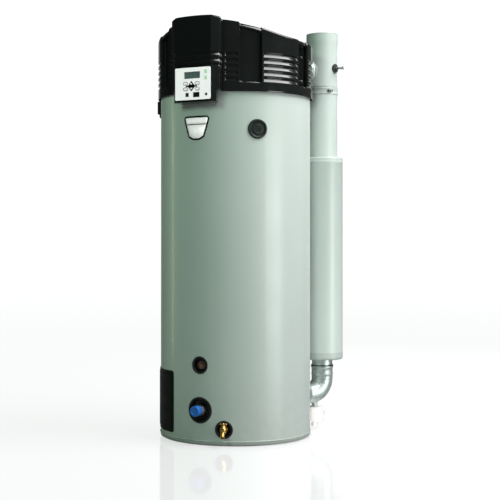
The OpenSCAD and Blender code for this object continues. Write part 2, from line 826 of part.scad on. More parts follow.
// Control panel --------------------------------------------------------------------------------

module control_housing() {
    color(hood_black) difference() {
        translate([0, 0, housing_low])
            linear_extrude(height = housing_high - housing_low) housing_outline(0);
        translate([0, 0, housing_low - 1]) cylinder(r = jacket_r + 0.4, h = 200);
        // hollow behind the front wall
        difference() {
            translate([0, 0, housing_low + 4])
                linear_extrude(height = housing_high - housing_low - 8) housing_outline(4);
            translate([0, 0, housing_low - 1]) cylinder(r = jacket_r + 4, h = 200);
        }
        // window behind the fascia
        translate([-78, -block_front - 5, fascia_top - fascia_h + 6]) cube([156, 15, fascia_h - 18]);
    }
}

// Places on the fascia, from its centre line and top edge
display_at = [-3, fascia_top - 33.5];
display_size = [76, 27];
switch_at = [-28, fascia_top - 120];
socket_at = [18, fascia_top - 121];
socket_size = [31, 22];
fuse_at = [68, fascia_top - 121];
lamps_at = [[65, fascia_top - 21], [65, fascia_top - 48]];
lamp_size = [13, 16];
oval_dx = 29.5;
oval_dz = 12.5;
triangle_dz = 6;

module oval_key(grow) {
    hull() for (x = [-1, 1]) translate([x * 4.5, 0]) circle(r = 5 + grow, $fn = 32);
}

module triangle_key(up, grow) {
    s = up ? 1 : -1;
    w = 12 + 1.8 * grow;
    translate([0, s * triangle_dz])
        polygon([[-w, -s * grow], [w, -s * grow], [0, s * (11 + 1.8 * grow)]]);
}

module key_places(grow) {
    translate([keypad_x, keypad_z]) {
        triangle_key(true, grow);
        triangle_key(false, grow);
        for (x = [-1, 1], z = [-1, 1]) translate([x * oval_dx, z * oval_dz]) oval_key(grow);
    }
}

module fascia() {
    color([0.95, 0.95, 0.95]) {
        difference() {
            union() {
                front_extrude(fascia_y, fascia_t) translate([0, fascia_top - fascia_h / 2])
                    rounded_square(fascia_w, fascia_h, 6);
                // lugs of the rocker switch's pivot
                front_extrude(fascia_y - 1, 6) translate(switch_at) square([21, 6], center = true);
            }
            front_extrude(fascia_y + 1, fascia_t + 2) {
                translate(display_at) square(display_size, center = true);
                key_places(button_gap);
                translate(socket_at) square([socket_size[0] + 0.4, socket_size[1] + 0.4], center = true);
                translate(fuse_at) circle(r = 6.2);
                for (p = lamps_at) translate(p)
                    square([lamp_size[0] + 0.4, lamp_size[1] + 0.4], center = true);
            }
            front_extrude(fascia_y + 1, 12) translate(switch_at) square([15.6, 17.6], center = true);
        }
        switch_pivot(1.25, 17);
    }
}

module switch_pivot(r, length) {
    translate([switch_at[0] - length / 2, -(fascia_y - 4), switch_at[1]]) rotate([0, 90, 0])
        cylinder(r = r, h = length, $fn = 32);
}

module display_module() {
    color([0.35, 0.4, 0.42]) {
        front_extrude(fascia_y - 0.9, 2) translate(display_at)
            square([display_size[0] - 0.4, display_size[1] - 0.4], center = true);
        front_extrude(block_front - 0.1, 6) translate(display_at)
            square([display_size[0] + 8, display_size[1] + 6], center = true);
    }
}

module controller_board() {
    color([0.1, 0.35, 0.18]) {
        front_extrude(403, 2) translate([0, fascia_top - fascia_h / 2])
            square([150, 112], center = true);
        front_extrude(400.9, 14) translate([38, fascia_top - 88]) square([46, 34], center = true);
        front_extrude(400.9, 10) translate([-40, fascia_top - 60]) square([30, 40], center = true);
    }
}

// Black surround of the two triangular keys
module keypad_bezel() {
    color([0.02, 0.02, 0.02]) front_extrude(fascia_y + 0.8, 0.75) difference() {
        translate([keypad_x, keypad_z]) {
            polygon([[-19, 0], [0, -23], [19, 0], [0, 23]]);
            square([56, 7], center = true);
        }
        translate([keypad_x, keypad_z]) {
            triangle_key(true, button_gap);
            triangle_key(false, button_gap);
        }
    }
}

// A key cap in its opening, with a lip behind the fascia that keeps it in
module key_cap() {
    front_extrude(fascia_y + button_proud, button_proud + fascia_t + 0.8) children(0);
    front_extrude(block_front - 0.4, 1.4) children(1);
}

module button_up() {
    color([0.93, 0.93, 0.94]) key_cap() {
        translate([keypad_x, keypad_z]) triangle_key(true, 0);
        translate([keypad_x, keypad_z]) triangle_key(true, 1);
    }
}

module button_down() {
    color([0.93, 0.93, 0.94]) key_cap() {
        translate([keypad_x, keypad_z]) triangle_key(false, 0);
        translate([keypad_x, keypad_z]) triangle_key(false, 1);
    }
}

module oval_button(x, z) {
    color([0.8, 0.8, 0.83]) key_cap() {
        translate([keypad_x + x * oval_dx, keypad_z + z * oval_dz]) oval_key(0);
        translate([keypad_x + x * oval_dx, keypad_z + z * oval_dz]) oval_key(1);
    }
}

module button_menu() { oval_button(-1, 1); }
module button_reset() { oval_button(1, 1); }
module button_back() { oval_button(-1, -1); }
module button_enter() { oval_button(1, -1); }

// Rocker, tilted to its off position
module power_switch() {
    tilt = 8;
    color([0.04, 0.04, 0.05]) difference() {
        translate([switch_at[0] - 7.4, -(fascia_y - 4), switch_at[1]]) rotate([-tilt, 0, 0])
            rotate([90, 0, 90]) linear_extrude(height = 14.8)
                polygon([[2.5, -5], [2.5, 5], [-4.2, 7.4], [-5.6, 7.4], [-4.4, 0], [-5.6, -7.4],
                    [-4.2, -7.4]]);
        switch_pivot(1.3, 20);
    }
}

module panel_sockets() {
    color([0.05, 0.05, 0.05]) {
        // the service socket's dust cover, dished with a grip rib
        difference() {
            front_extrude(fascia_y + 0.8, 9) translate(socket_at) square(socket_size, center = true);
            front_extrude(fascia_y + 2, 3.2) translate(socket_at) difference() {
                square([socket_size[0] - 6, socket_size[1] - 7], center = true);
                square([12, 3], center = true);
            }
        }
        difference() {
            front_extrude(fascia_y + 1.5, 9) translate(fuse_at) circle(r = 6);
            front_extrude(fascia_y + 2, 2) translate(fuse_at) circle(r = 3.6);
        }
    }
}

module status_lamps() {
    color([0.55, 0.8, 0.55]) for (p = lamps_at) front_extrude(fascia_y + 0.7, 5) translate(p)
        square(lamp_size, center = true);
}

// Name plate on the jacket, left blank
module badge_outline(grow) {
    hull() {
        for (x = [-1, 1]) translate([x * 50, 38]) circle(r = 12 + grow, $fn = 32);
        for (x = [-1, 1]) translate([x * 30, -26]) circle(r = 14 + grow, $fn = 32);
        translate([0, -33]) circle(r = 22 + grow, $fn = 48);
    }
}

module badge() {
    bearing = -3;
    z = 1421;
    color([0.9, 0.9, 0.9]) intersection() {
        translate([0, 0, z - 100]) ring(jacket_r + 1.6, jacket_r + face_gap, 200);
        radial(bearing, z, jacket_r - 30) linear_extrude(height = 60) badge_outline(0);
    }
}

// Port fittings ----------------------------------------------------------------------------------

// Plug that keeps dirt out of the cold water inlet, small enough for a fitting to pass over it
module cold_inlet_plug() {
    flange_h = 30;
    color([0.15, 0.42, 0.85]) radial(cold_port[0], cold_port[1], nipple_end_r + 0.2) difference() {
        union() {
            cylinder(r = water_thread_r - 0.5, h = flange_h - 2);
            translate([0, 0, flange_h - 2])
                cylinder(r1 = water_thread_r - 0.5, r2 = water_thread_r - 2.5, h = 2);
            translate([0, 0, -22]) cylinder(r = water_bore_r - 0.3, h = 22.5);
        }
        translate([0, 0, flange_h - 3]) cylinder(r = 16, h = 5);
        translate([0, 0, -23]) cylinder(r = water_bore_r - 2.5, h = 20);
    }
}

module lower_sensor() {
    color(brass) radial(sensor_port[0], sensor_port[1], 334.2) {
        difference() {
            union() {
                hexagon(17, 9);
                translate([0, 0, 9]) cylinder(r = 10, h = 6);
                translate([0, 0, -92]) cylinder(r = 11.2, h = 92.5);
            }
            translate([0, 0, -88]) cylinder(r = 4, h = 150);
        }
        translate([0, 0, 15.1]) cylinder(r = 6.5, h = 5);
        translate([-9, -4, 16]) cube([6, 8, 3]);
        translate([-14, -19, 13]) cube([7, 16, 4]);
    }
}

// Flat cap over the unused relief valve port
module relief_port_cap() {
    color([0.1, 0.11, 0.11]) difference() {
        union() {
            difference() {
                radial(relief_bearing, relief_z, jacket_r - 20) cylinder(r = 44, h = 26.5);
                cylinder(r = jacket_r + face_gap, h = 2000);
            }
            radial(relief_bearing, relief_z, 334) cylinder(r = 37, h = 20);
        }
        radial(relief_bearing, relief_z, jacket_r + 4.2) cylinder(r = 38, h = 20);
        radial(relief_bearing, relief_z, 330) cylinder(r = 34, h = 18);
    }
}

drain_reach = 376;
spout_angle = 45;

// Drain cock: hexagon, plug housing with its spindle on top, and a spout that points forwards and down
module drain_valve_body() {
    color(brass) difference() {
        union() {
            radial(drain_port[0], drain_z, 305) cylinder(r = 11, h = drain_reach - 305);
            radial(drain_port[0], drain_z, 334.2) hexagon(17, 9);
            rotate([0, 0, drain_port[0]]) translate([0, -drain_reach, drain_z]) {
                translate([0, 0, -14]) cylinder(r = 15, h = 28);
                translate([0, 0, 13]) cylinder(r = 8, h = 11);
                translate([0, 0, 14.5]) hexagon(11, 6);
                rotate([180 - spout_angle, 0, 0]) {
                    cylinder(r = 8.5, h = 21);
                    translate([0, 0, 20]) cylinder(r = 10, h = 20);
                }
            }
        }
        radial(drain_port[0], drain_z, 300) cylinder(r = 6.5, h = drain_reach - 298);
        rotate([0, 0, drain_port[0]]) translate([0, -drain_reach, drain_z]) {
            rotate([180 - spout_angle, 0, 0]) cylinder(r = 6, h = 60);
            translate([0, 0, 6.8]) cylinder(r = 3.3, h = 30);
        }
    }
}

module drain_valve_handle() {
    color(brass) rotate([0, 0, drain_port[0]]) translate([0, -drain_reach, drain_z]) {
        translate([0, 0, 8]) cylinder(r = 3.25, h = 20);
        translate([0, 0, 24.4]) cylinder(r = 7, h = 9);
        translate([-17, 0, 29]) rotate([0, 90, 0]) cylinder(r = 3.6, h = 34);
    }
}

// Flue and air pipes --------------------------------------------------------------------------------

module flue_elbow() {
    r_in = flue_r + socket_gap;
    r_out = r_in + elbow_t;
    bend_start = flue_reach - bend_r;
    color([0.72, 0.74, 0.75]) difference() {
        union() {
            rotate([0, 0, flue_bearing]) translate([0, -bend_start, outlet_z + bend_r])
                rotate([90, 0, -90])
                rotate([0, 0, -90]) rotate_extrude(angle = 90) translate([bend_r, 0]) difference() {
                    circle(r = r_out);
                    circle(r = r_in);
                }
            radial(flue_bearing, outlet_z, bend_start - 34) ring(r_out, r_in, 34);
            at_flue() translate([0, 0, outlet_z + bend_r])
                ring(r_out, r_in, elbow_top - outlet_z - bend_r);
            at_flue() translate([0, 0, elbow_top - 9]) ring(r_out + 3, r_in, 9);
            radial(flue_bearing, outlet_z, bend_start - 34) ring(r_out + 2, r_in, 7);
            rotate([0, 0, flue_bearing]) translate([0, -430, 105]) cylinder(r = 14, h = 24);
        }
        rotate([0, 0, flue_bearing]) translate([0, -430, 100]) cylinder(r = 11.5, h = 60);
        // keep the drain spigot out of the bend's inside
        rotate([0, 0, flue_bearing]) translate([0, -bend_start, outlet_z + bend_r]) rotate([90, 0, -90])
            rotate([0, 0, -90]) rotate_extrude(angle = 90) translate([bend_r, 0]) circle(r = r_in);
    }
}

// Rings between the chamber and the burner plate, at the elbow, and round the test nipple
module seals() {
    color([0.06, 0.06, 0.06]) {
        translate([0, 0, chamber_high + 0.2]) ring(128, 98, 2.6);
        at_flue() translate([0, 0, elbow_top + 0.2]) ring(flue_r + 4.2, flue_r + 0.3, 4);
        difference() {
            off_flue(test_bearing, test_z, air_r - 6) cylinder(r = 21, h = 12);
            at_flue() translate([0, 0, test_z - 60]) cylinder(r = air_r + 0.2, h = 120);
            off_flue(test_bearing, test_z, 20) cylinder(r = 6.8, h = 100);
        }
    }
}

flue_socket_top = 1876;

module flue_pipe() {
    color([0.8, 0.82, 0.82]) at_flue() difference() {
        union() {
            translate([0, 0, outlet_z + bend_r + 6])
                cylinder(r = flue_r, h = flue_socket_top - 40 - outlet_z - bend_r - 6);
            translate([0, 0, flue_socket_top - 46]) cylinder(r = flue_r + 2, h = 46);
        }
        cylinder(r = flue_r - pipe_t, h = 2500);
        translate([0, 0, flue_socket_top - 42]) cylinder(r = flue_r + 0.3, h = 60);
        translate([0, 0, test_z]) rotate([0, 0, test_bearing - flue_bearing]) rotate([90, 0, 0])
            cylinder(r = 5.6, h = 80);
    }
}

// Painted sleeve with a lapped seam, closed at both ends
module sleeve_shell() {
    corner = 14;
    seam = [66, 72];
    color([0.84, 0.87, 0.85]) at_flue() {
        rotate_extrude() polygon(concat(
            [[flue_r + 5, sleeve_bottom]],
            round_corner(sleeve_r - corner, sleeve_bottom + corner, corner, -90, 0, 6),
            [[sleeve_r, sleeve_top], [air_r + 1.5, sleeve_top], [air_r + 1.5, sleeve_top - 2],
             [sleeve_r - 1.5, sleeve_top - 2], [sleeve_r - 1.5, sleeve_bottom + corner],
             [sleeve_r - corner, sleeve_bottom + 1.5], [flue_r + 5, sleeve_bottom + 1.5]]));
        rotate([0, 0, seam[0] - 90 - flue_bearing]) rotate_extrude(angle = seam[1] - seam[0])
            translate([sleeve_r - 0.5, sleeve_bottom + 20])
                square([1.2, sleeve_top - sleeve_bottom - 32]);
        translate([0, 0, sleeve_top - 9]) ring(sleeve_r + 1, sleeve_r - 1, 8);
    }
}

module air_pipe() {
    color([0.8, 0.84, 0.83]) at_flue() translate([0, 0, sleeve_top - 21])
        ring(air_r, air_r - pipe_t, adaptor_low - 0.3 - sleeve_top + 21);
}

// Outer half of the concentric adaptor, with the air branch towards the hood
module air_adaptor() {
    socket_low = flue_top - socket_depth;
    color([0.8, 0.84, 0.83]) difference() {
        union() {
            at_flue() {
                translate([0, 0, adaptor_low]) cylinder(r = air_r, h = socket_low - adaptor_low);
                translate([0, 0, socket_low - 9]) cylinder(r1 = air_r, r2 = air_r + 2.6, h = 9);
                translate([0, 0, socket_low]) cylinder(r = air_r + 2.6, h = socket_depth);
            }
            radial(flue_bearing, branch_z, flue_reach - 95) cylinder(r = branch_r, h = 95);
        }
        at_flue() translate([0, 0, adaptor_low - 1]) cylinder(r = air_r - 1.5, h = 400);
        at_flue() translate([0, 0, socket_low]) cylinder(r = air_r + 0.7, h = 100);
        radial(flue_bearing, branch_z, flue_reach - 100) cylinder(r = branch_r - 1.5, h = 90);
        off_flue(test_bearing, test_z, 20) cylinder(r = 6.8, h = 100);
    }
}

module adaptor_clamp() {
    lug_bearing = 52;
    z = adaptor_low - 3;
    color([0.66, 0.72, 0.7]) difference() {
        union() {
            at_flue() translate([0, 0, z]) ring(air_r + 2, air_r + 0.2, 30);
            at_flue() translate([0, 0, z + 2]) ring(air_r + 3.2, air_r + 1, 4);
            at_flue() translate([0, 0, z + 24]) ring(air_r + 3.2, air_r + 1, 4);
            off_flue(lug_bearing, z + 15, air_r + 1) translate([-9, -8, 0]) cube([18, 16, 10]);
        }
        off_flue(lug_bearing, z + 15, air_r + 6) rotate([0, 90, 0]) translate([0, 0, -20])
            cylinder(r = 2.6, h = 40);
        off_flue(lug_bearing, z + 15, air_r + 3) translate([-1.5, -9, 0]) cube([3, 18, 20]);
    }
}

// Short corrugated aluminium duct from the adaptor's branch into the hood
module air_duct() {
    crests = 6;
    from = hood_r - 20;
    to = flue_reach - air_r - 3;
    pitch = (to - from) / crests;
    color([0.8, 0.81, 0.82]) difference() {
        union() {
            radial(flue_bearing, branch_z, from) cylinder(r = branch_r + 1.8, h = to - from);
            for (i = [0:crests - 1]) radial(flue_bearing, branch_z, from + (i + 0.2) * pitch)
                cylinder(r = branch_r + 5, h = pitch * 0.6);
        }
        radial(flue_bearing, branch_z, from - 5) cylinder(r = branch_r + 0.4, h = 200);
    }
}

module test_nipple() {
    color([0.5, 0.52, 0.52]) difference() {
        union() {
            off_flue(test_bearing, test_z, flue_r - 6) cylinder(r = 5.4, h = 76);
            off_flue(test_bearing, test_z, air_r + 8) hexagon(9, 6);
        }
        off_flue(test_bearing, test_z, flue_r - 10) cylinder(r = 3, h = 120);
    }
}

module test_cap() {
    color(pale_plastic) off_flue(test_bearing, test_z, 108.5) difference() {
        union() {
            cylinder(r = 8.5, h = 16);
            translate([0, 0, 16]) cylinder(r = 9.6, h = 7);
        }
        translate([0, 0, -1]) cylinder(r = 5.6, h = 13);
    }
}

// Condensate trap under the elbow, with its outlet to the back
siphon_at = [260, 342];
siphon_half = [38, 30];

module siphon() {
    low = 34;
    high = 101;
    wall = 2.5;
    color(pale_plastic) difference() {
        union() {
            translate([siphon_at[0] - siphon_half[0], siphon_at[1] - siphon_half[1], low])
                cube([2 * siphon_half[0], 2 * siphon_half[1], high - low]);
            translate([siphon_at[0] - siphon_half[0] - 4, siphon_at[1] - siphon_half[1] - 4, high])
                cube([2 * siphon_half[0] + 8, 2 * siphon_half[1] + 8, 3.8]);
            translate([siphon_at[0] + 8, siphon_at[1], low + 40]) rotate([-90, 0, 0])
                cylinder(r = 20, h = 66);
            translate([siphon_at[0], siphon_at[1], 10]) cylinder(r = 15, h = 30);
        }
        translate([siphon_at[0] - siphon_half[0] + wall, siphon_at[1] - siphon_half[1] + wall,
            low + wall])
            cube([2 * (siphon_half[0] - wall), 2 * (siphon_half[1] - wall), high - low - wall]);
        translate([siphon_at[0] + 8, siphon_at[1] + 10, low + 40]) rotate([-90, 0, 0])
            cylinder(r = 17.5, h = 80);
        rotate([0, 0, flue_bearing]) translate([0, -430, 90]) cylinder(r = 11.5, h = 60);
        translate([siphon_at[0], siphon_at[1], 5]) cylinder(r = 11, h = 8);
    }
}

base_pan();
jacket();
insulation_foam();
tank_shell();
tank_heads();
tank_nipples();
port_collars();
combustion_chamber();
heat_exchanger_coil();
flue_header();
anode_rods();
burner();
burner_plate();
flange_bolts();
fan_housing();
fan_impeller();
fan_motor();
venturi_mixer();
gas_valve();
gas_pipe();
ignition_electrodes();
handhole_neck();
handhole_plate();
inspection_cover();
cold_inlet_plug();
lower_sensor();
relief_port_cap();
drain_valve_body();
drain_valve_handle();
hood_front();
hood_rear();
hood_screws();
cable_entry_box();
cable_glands();
control_housing();
fascia();
display_module();
controller_board();
keypad_bezel();
button_up();
button_down();
button_menu();
button_reset();
button_back();
button_enter();
power_switch();
panel_sockets();
status_lamps();
badge();
flue_elbow();
seals();
flue_pipe();
sleeve_shell();
air_pipe();
air_adaptor();
adaptor_clamp();
air_duct();
test_nipple();
test_cap();
siphon();
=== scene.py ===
import json
from bisect import bisect_right
from math import acos, asin, atan2, cos, degrees, hypot, pi, radians, sin, sqrt, tan

import bmesh
import bpy
from mathutils import Matrix, Vector

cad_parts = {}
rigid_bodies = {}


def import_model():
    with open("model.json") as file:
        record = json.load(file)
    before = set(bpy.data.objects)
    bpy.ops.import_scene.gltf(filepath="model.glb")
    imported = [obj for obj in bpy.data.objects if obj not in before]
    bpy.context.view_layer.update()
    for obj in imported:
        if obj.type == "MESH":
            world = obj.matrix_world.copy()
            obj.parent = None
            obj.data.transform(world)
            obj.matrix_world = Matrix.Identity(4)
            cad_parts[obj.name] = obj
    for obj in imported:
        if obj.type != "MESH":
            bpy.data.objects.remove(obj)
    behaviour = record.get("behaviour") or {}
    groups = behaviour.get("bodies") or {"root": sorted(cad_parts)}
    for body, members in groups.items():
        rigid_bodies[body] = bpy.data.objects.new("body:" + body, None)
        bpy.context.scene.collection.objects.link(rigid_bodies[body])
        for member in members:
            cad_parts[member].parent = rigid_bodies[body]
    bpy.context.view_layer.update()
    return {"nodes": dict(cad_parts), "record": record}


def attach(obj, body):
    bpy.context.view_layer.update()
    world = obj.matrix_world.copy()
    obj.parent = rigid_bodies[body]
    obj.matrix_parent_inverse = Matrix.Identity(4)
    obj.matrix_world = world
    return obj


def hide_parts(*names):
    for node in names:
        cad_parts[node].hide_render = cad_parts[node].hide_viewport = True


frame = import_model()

HEATER = "heater"
WHITE = (1, 1, 1, 1)


# ---- Camera, lights and floor ----

def make_camera():
    """Level camera at eye height, a little to the right of the heater's front."""
    azimuth = radians(27.0)
    distance, height = 5.62, 0.916
    data = bpy.data.cameras.new("camera")
    data.sensor_width = 36.0
    data.lens = 85.4
    data.shift_x = 0.029
    data.shift_y = -0.0186
    camera = bpy.data.objects.new("camera", data)
    camera.location = (distance * sin(azimuth), -distance * cos(azimuth), height)
    camera.rotation_euler = (radians(90), 0, azimuth)
    bpy.context.scene.collection.objects.link(camera)
    bpy.context.scene.camera = camera


def area_light(name, location, target, size, power, colour=(1, 1, 1), glossy=True):
    data = bpy.data.lights.new(name, "AREA")
    data.shape = "RECTANGLE"
    data.size, data.size_y = size
    data.energy = power
    data.color = colour
    light = bpy.data.objects.new(name, data)
    light.location = location
    towards = Vector(target) - Vector(location)
    light.rotation_euler = towards.to_track_quat("-Z", "Y").to_euler()
    light.visible_glossy = glossy
    bpy.context.scene.collection.objects.link(light)
    return light


def make_lights():
    """Two soft boxes on the right, and two fills that show in no reflection."""
    centre = (0, 0, 1.0)
    area_light("key_top_right", (2.2, 0.3, 4.1), (0, 0, 1.3), (3.0, 2.6), 225)
    area_light("side_right", (4.3, -0.3, 0.8), (0, 0, 0.7), (1.8, 1.9), 64, (0.96, 1.0, 0.98))
    area_light("fill_front", (-0.5, -4.2, 2.9), centre, (1.4, 1.2), 58, (0.66, 1.0, 0.76), False)
    area_light("back", (0.2, 4.2, 2.6), centre, (2.4, 2.4), 55, glossy=False)


def light_some(name, location, target, size, power, colour, pieces, glossy=False):
    """A reflector that lights only some of the pieces, as flags in a studio would arrange."""
    light = area_light(name, location, target, size, power, colour, glossy)
    lit = bpy.data.collections.new(name)
    for piece in pieces:
        lit.objects.link(piece)
    light.light_linking.receiver_collection = lit


def set_inputs(node, values):
    for name, value in values.items():
        node.inputs[name.replace("_", " ")].default_value = value


def add_node(tree, kind, **values):
    """Adds a shader node and sets its inputs; an underscore stands for a space in their names."""
    node = tree.nodes.new("ShaderNode" + kind)
    set_inputs(node, values)
    return node


def make_world():
    """White for the camera; for the object, bright behind it and to its right, dark to its left."""
    world = bpy.data.worlds.new("studio")
    bpy.context.scene.world = world
    world.use_nodes = True
    tree = world.node_tree
    tree.nodes.clear()
    where = add_node(tree, "TexCoord")

    def towards(direction, low, high, to_low, to_high):
        dot = add_node(tree, "VectorMath")
        dot.operation = "DOT_PRODUCT"
        dot.inputs[1].default_value = Vector(direction).normalized()
        tree.links.new(where.outputs["Generated"], dot.inputs[0])
        spread = add_node(tree, "MapRange", From_Min=low, From_Max=high, To_Min=to_low,
                          To_Max=to_high)
        spread.interpolation_type = "SMOOTHSTEP"
        tree.links.new(dot.outputs["Value"], spread.inputs["Value"])
        return spread.outputs["Result"]

    total = add_node(tree, "Math")
    total.operation = "ADD"
    tree.links.new(towards((-0.454, 0.891, 0), 0.86, 0.96, 0.0, 0.45), total.inputs[0])
    tree.links.new(towards((0.94, -0.2, 0.3), -0.6, 0.8, 0.03, 0.16), total.inputs[1])
    ambient = add_node(tree, "Background", Color=(0.96, 1.0, 0.97, 1))
    backdrop = add_node(tree, "Background", Color=WHITE, Strength=1.05)
    mix = add_node(tree, "MixShader")
    output = add_node(tree, "OutputWorld")
    tree.links.new(total.outputs[0], ambient.inputs["Strength"])
    tree.links.new(add_node(tree, "LightPath").outputs["Is Camera Ray"], mix.inputs["Fac"])
    tree.links.new(ambient.outputs[0], mix.inputs[1])
    tree.links.new(backdrop.outputs[0], mix.inputs[2])
    tree.links.new(mix.outputs[0], output.inputs["Surface"])
    bpy.context.scene.view_settings.view_transform = "Standard"


def make_floor():
    """Polished white floor that gives back a faint image of the heater's foot."""
    bpy.ops.mesh.primitive_plane_add(size=60, location=(0, 0, -0.0005))
    floor = bpy.context.object
    floor.name = "floor"
    s = coating("floor_white", (0.24, 0.24, 0.245), 0.07, tint=0.01, grain=0.01,
                rough_spread=0.02, specular=0.8)
    set_inputs(s.bsdf, {"Emission Color": WHITE})
    # bright for the camera only, so that the floor doesn't light the heater from below
    seen = add_node(s.tree, "LightPath").outputs["Is Camera Ray"]
    s.link(s.maths("MULTIPLY_ADD", seen, 0.62, 0.02), s.bsdf.inputs["Emission Strength"])
    floor.data.materials.append(s.material)


# ---- Materials ----

class Shader:
    """A small helper around one material's node tree."""

    def __init__(self, name):
        self.material = bpy.data.materials.new(name)
        self.material.use_nodes = True
        self.tree = self.material.node_tree
        self.bsdf = self.tree.nodes["Principled BSDF"]
        self.where = add_node(self.tree, "TexCoord").outputs["Object"]

    def link(self, a, b):
        self.tree.links.new(a, b)

    def noise(self, scale, detail=2.0, stretch=(1, 1, 1), roughness=0.5):
        mapping = add_node(self.tree, "Mapping", Scale=stretch)
        self.link(self.where, mapping.inputs["Vector"])
        node = add_node(self.tree, "TexNoise", Scale=scale, Detail=detail, Roughness=roughness)
        self.link(mapping.outputs[0], node.inputs["Vector"])
        return node.outputs["Fac"]

    def spread(self, value, low, high, to_low, to_high):
        node = add_node(self.tree, "MapRange", From_Min=low, From_Max=high, To_Min=to_low,
                        To_Max=to_high)
        self.link(value, node.inputs["Value"])
        return node.outputs["Result"]

    def blend(self, factor, a, b):
        node = add_node(self.tree, "Mix")
        node.data_type = "RGBA"
        self.link(factor, node.inputs["Factor"])
        for socket, value in ((node.inputs["A"], a), (node.inputs["B"], b)):
            if isinstance(value, tuple):
                socket.default_value = (*value[:3], 1)
            else:
                self.link(value, socket)
        return node.outputs["Result"]

    def maths(self, operation, *values):
        node = add_node(self.tree, "Math")
        node.operation = operation
        for socket, value in zip(node.inputs, values):
            if isinstance(value, (int, float)):
                socket.default_value = value
            else:
                self.link(value, socket)
        return node.outputs[0]

    def height(self):
        split = add_node(self.tree, "SeparateXYZ")
        self.link(self.where, split.inputs[0])
        return split.outputs["Z"]

    def bump(self, value, strength, distance):
        """Adds a bump on top of those that are there."""
        node = add_node(self.tree, "Bump", Strength=strength, Distance=distance)
        self.link(value, node.inputs["Height"])
        previous = self.bsdf.inputs["Normal"].links
        if previous:
            self.link(previous[0].from_socket, node.inputs["Normal"])
        self.link(node.outputs[0], self.bsdf.inputs["Normal"])


def shade(colour, factor):
    return tuple(min(1.0, c * factor) for c in colour)


def coating(name, colour, roughness, metallic=0.0, coat=0.0, tint=0.06, tint_scale=9.0, grain=0.1,
            grain_scale=700.0, grain_depth=0.0002, stretch=(1, 1, 1), rough_spread=0.06, dust=0.0,
            specular=0.5, scratches=0.0):
    """Uneven colour and gloss, a fine surface grain and, if asked, dust and scratches."""
    s = Shader(name)
    set_inputs(s.bsdf, {"Metallic": metallic, "Specular IOR Level": specular})
    if coat:
        set_inputs(s.bsdf, {"Coat Weight": coat, "Coat Roughness": 0.06})
    clouds = s.spread(s.noise(tint_scale, 4.0), 0.3, 0.7, 0.0, 1.0)
    base = s.blend(clouds, shade(colour, 1 - tint), shade(colour, 1 + tint))
    if scratches:
        lines = s.spread(s.noise(130.0, 3.0, (1, 1, 0.03), 0.7), 0.62, 0.72, 0.0, scratches)
        base = s.blend(lines, base, shade(colour, 1.5))
    if dust:
        near_floor = s.spread(s.height(), 0.0, 0.35, dust, 0.0)
        patches = s.spread(s.noise(26.0, 5.0), 0.35, 0.7, 0.2, 1.0)
        base = s.blend(s.maths("MULTIPLY", near_floor, patches), base, (0.34, 0.31, 0.26))
    s.link(base, s.bsdf.inputs["Base Color"])
    gloss = s.spread(s.noise(tint_scale * 2.3, 3.0), 0.3, 0.7, max(0.02, roughness - rough_spread),
                     roughness + rough_spread)
    s.link(gloss, s.bsdf.inputs["Roughness"])
    s.bump(s.noise(grain_scale, 3.0, stretch), grain, grain_depth)
    return s


def finish(*values, **options):
    return coating(*values, **options).material


def brushed(name, colour, roughness, direction=(1, 1, 0.02)):
    """Metal drawn or rolled along one direction."""
    return finish(name, colour, roughness, 1.0, tint=0.08, tint_scale=14.0, grain=0.25,
                  grain_scale=420.0, grain_depth=0.00015, stretch=direction, rough_spread=0.08,
                  scratches=0.15)


def powder_coat(name, colour, waves=0.0):
    """Satin paint with a faint orange peel, over a slightly wavy sheet if asked."""
    s = coating(name, colour, 0.34, tint=0.018, tint_scale=3.0, grain=0.16, grain_scale=480.0,
                grain_depth=0.00012, rough_spread=0.05, dust=0.22, coat=0.12)
    if waves:
        s.bump(s.noise(2.2), 0.3, waves)
    return s.material


def galvanised(name, colour, roughness):
    """Aluminium or zinc with a faint spangle."""
    s = Shader(name)
    set_inputs(s.bsdf, {"Metallic": 0.92})
    cells = add_node(s.tree, "TexVoronoi", Scale=90.0)
    s.link(s.where, cells.inputs["Vector"])
    split = add_node(s.tree, "SeparateColor")
    s.link(cells.outputs["Color"], split.inputs[0])
    spangle = s.blend(split.outputs[0], shade(colour, 0.86), shade(colour, 1.1))
    s.link(spangle, s.bsdf.inputs["Base Color"])
    smudge = s.spread(s.noise(18.0, 4.0), 0.3, 0.7, roughness - 0.08, roughness + 0.12)
    s.link(smudge, s.bsdf.inputs["Roughness"])
    s.bump(s.noise(60.0, 3.0), 0.25, 0.0006)
    return s.material


def display_glass(name):
    """Liquid crystal window with rows of blank segment cells."""
    s = Shader(name)
    set_inputs(s.bsdf, {"Coat Weight": 0.6, "Coat Roughness": 0.05})
    bricks = add_node(s.tree, "TexBrick", Scale=200.0, Mortar_Size=0.05, Brick_Width=0.9,
                      Row_Height=1.5, Color1=(0.16, 0.21, 0.22, 1), Color2=(0.1, 0.135, 0.15, 1),
                      Mortar=(0.23, 0.29, 0.29, 1))
    bricks.offset = 0.0
    swap = add_node(s.tree, "Mapping", Rotation=(radians(90), 0, 0))
    s.link(s.where, swap.inputs["Vector"])
    s.link(swap.outputs[0], bricks.inputs["Vector"])
    s.link(bricks.outputs["Color"], s.bsdf.inputs["Base Color"])
    s.link(s.spread(s.noise(60.0), 0.3, 0.7, 0.18, 0.28), s.bsdf.inputs["Roughness"])
    s.bump(bricks.outputs["Fac"], 0.1, 0.0001)
    return s.material


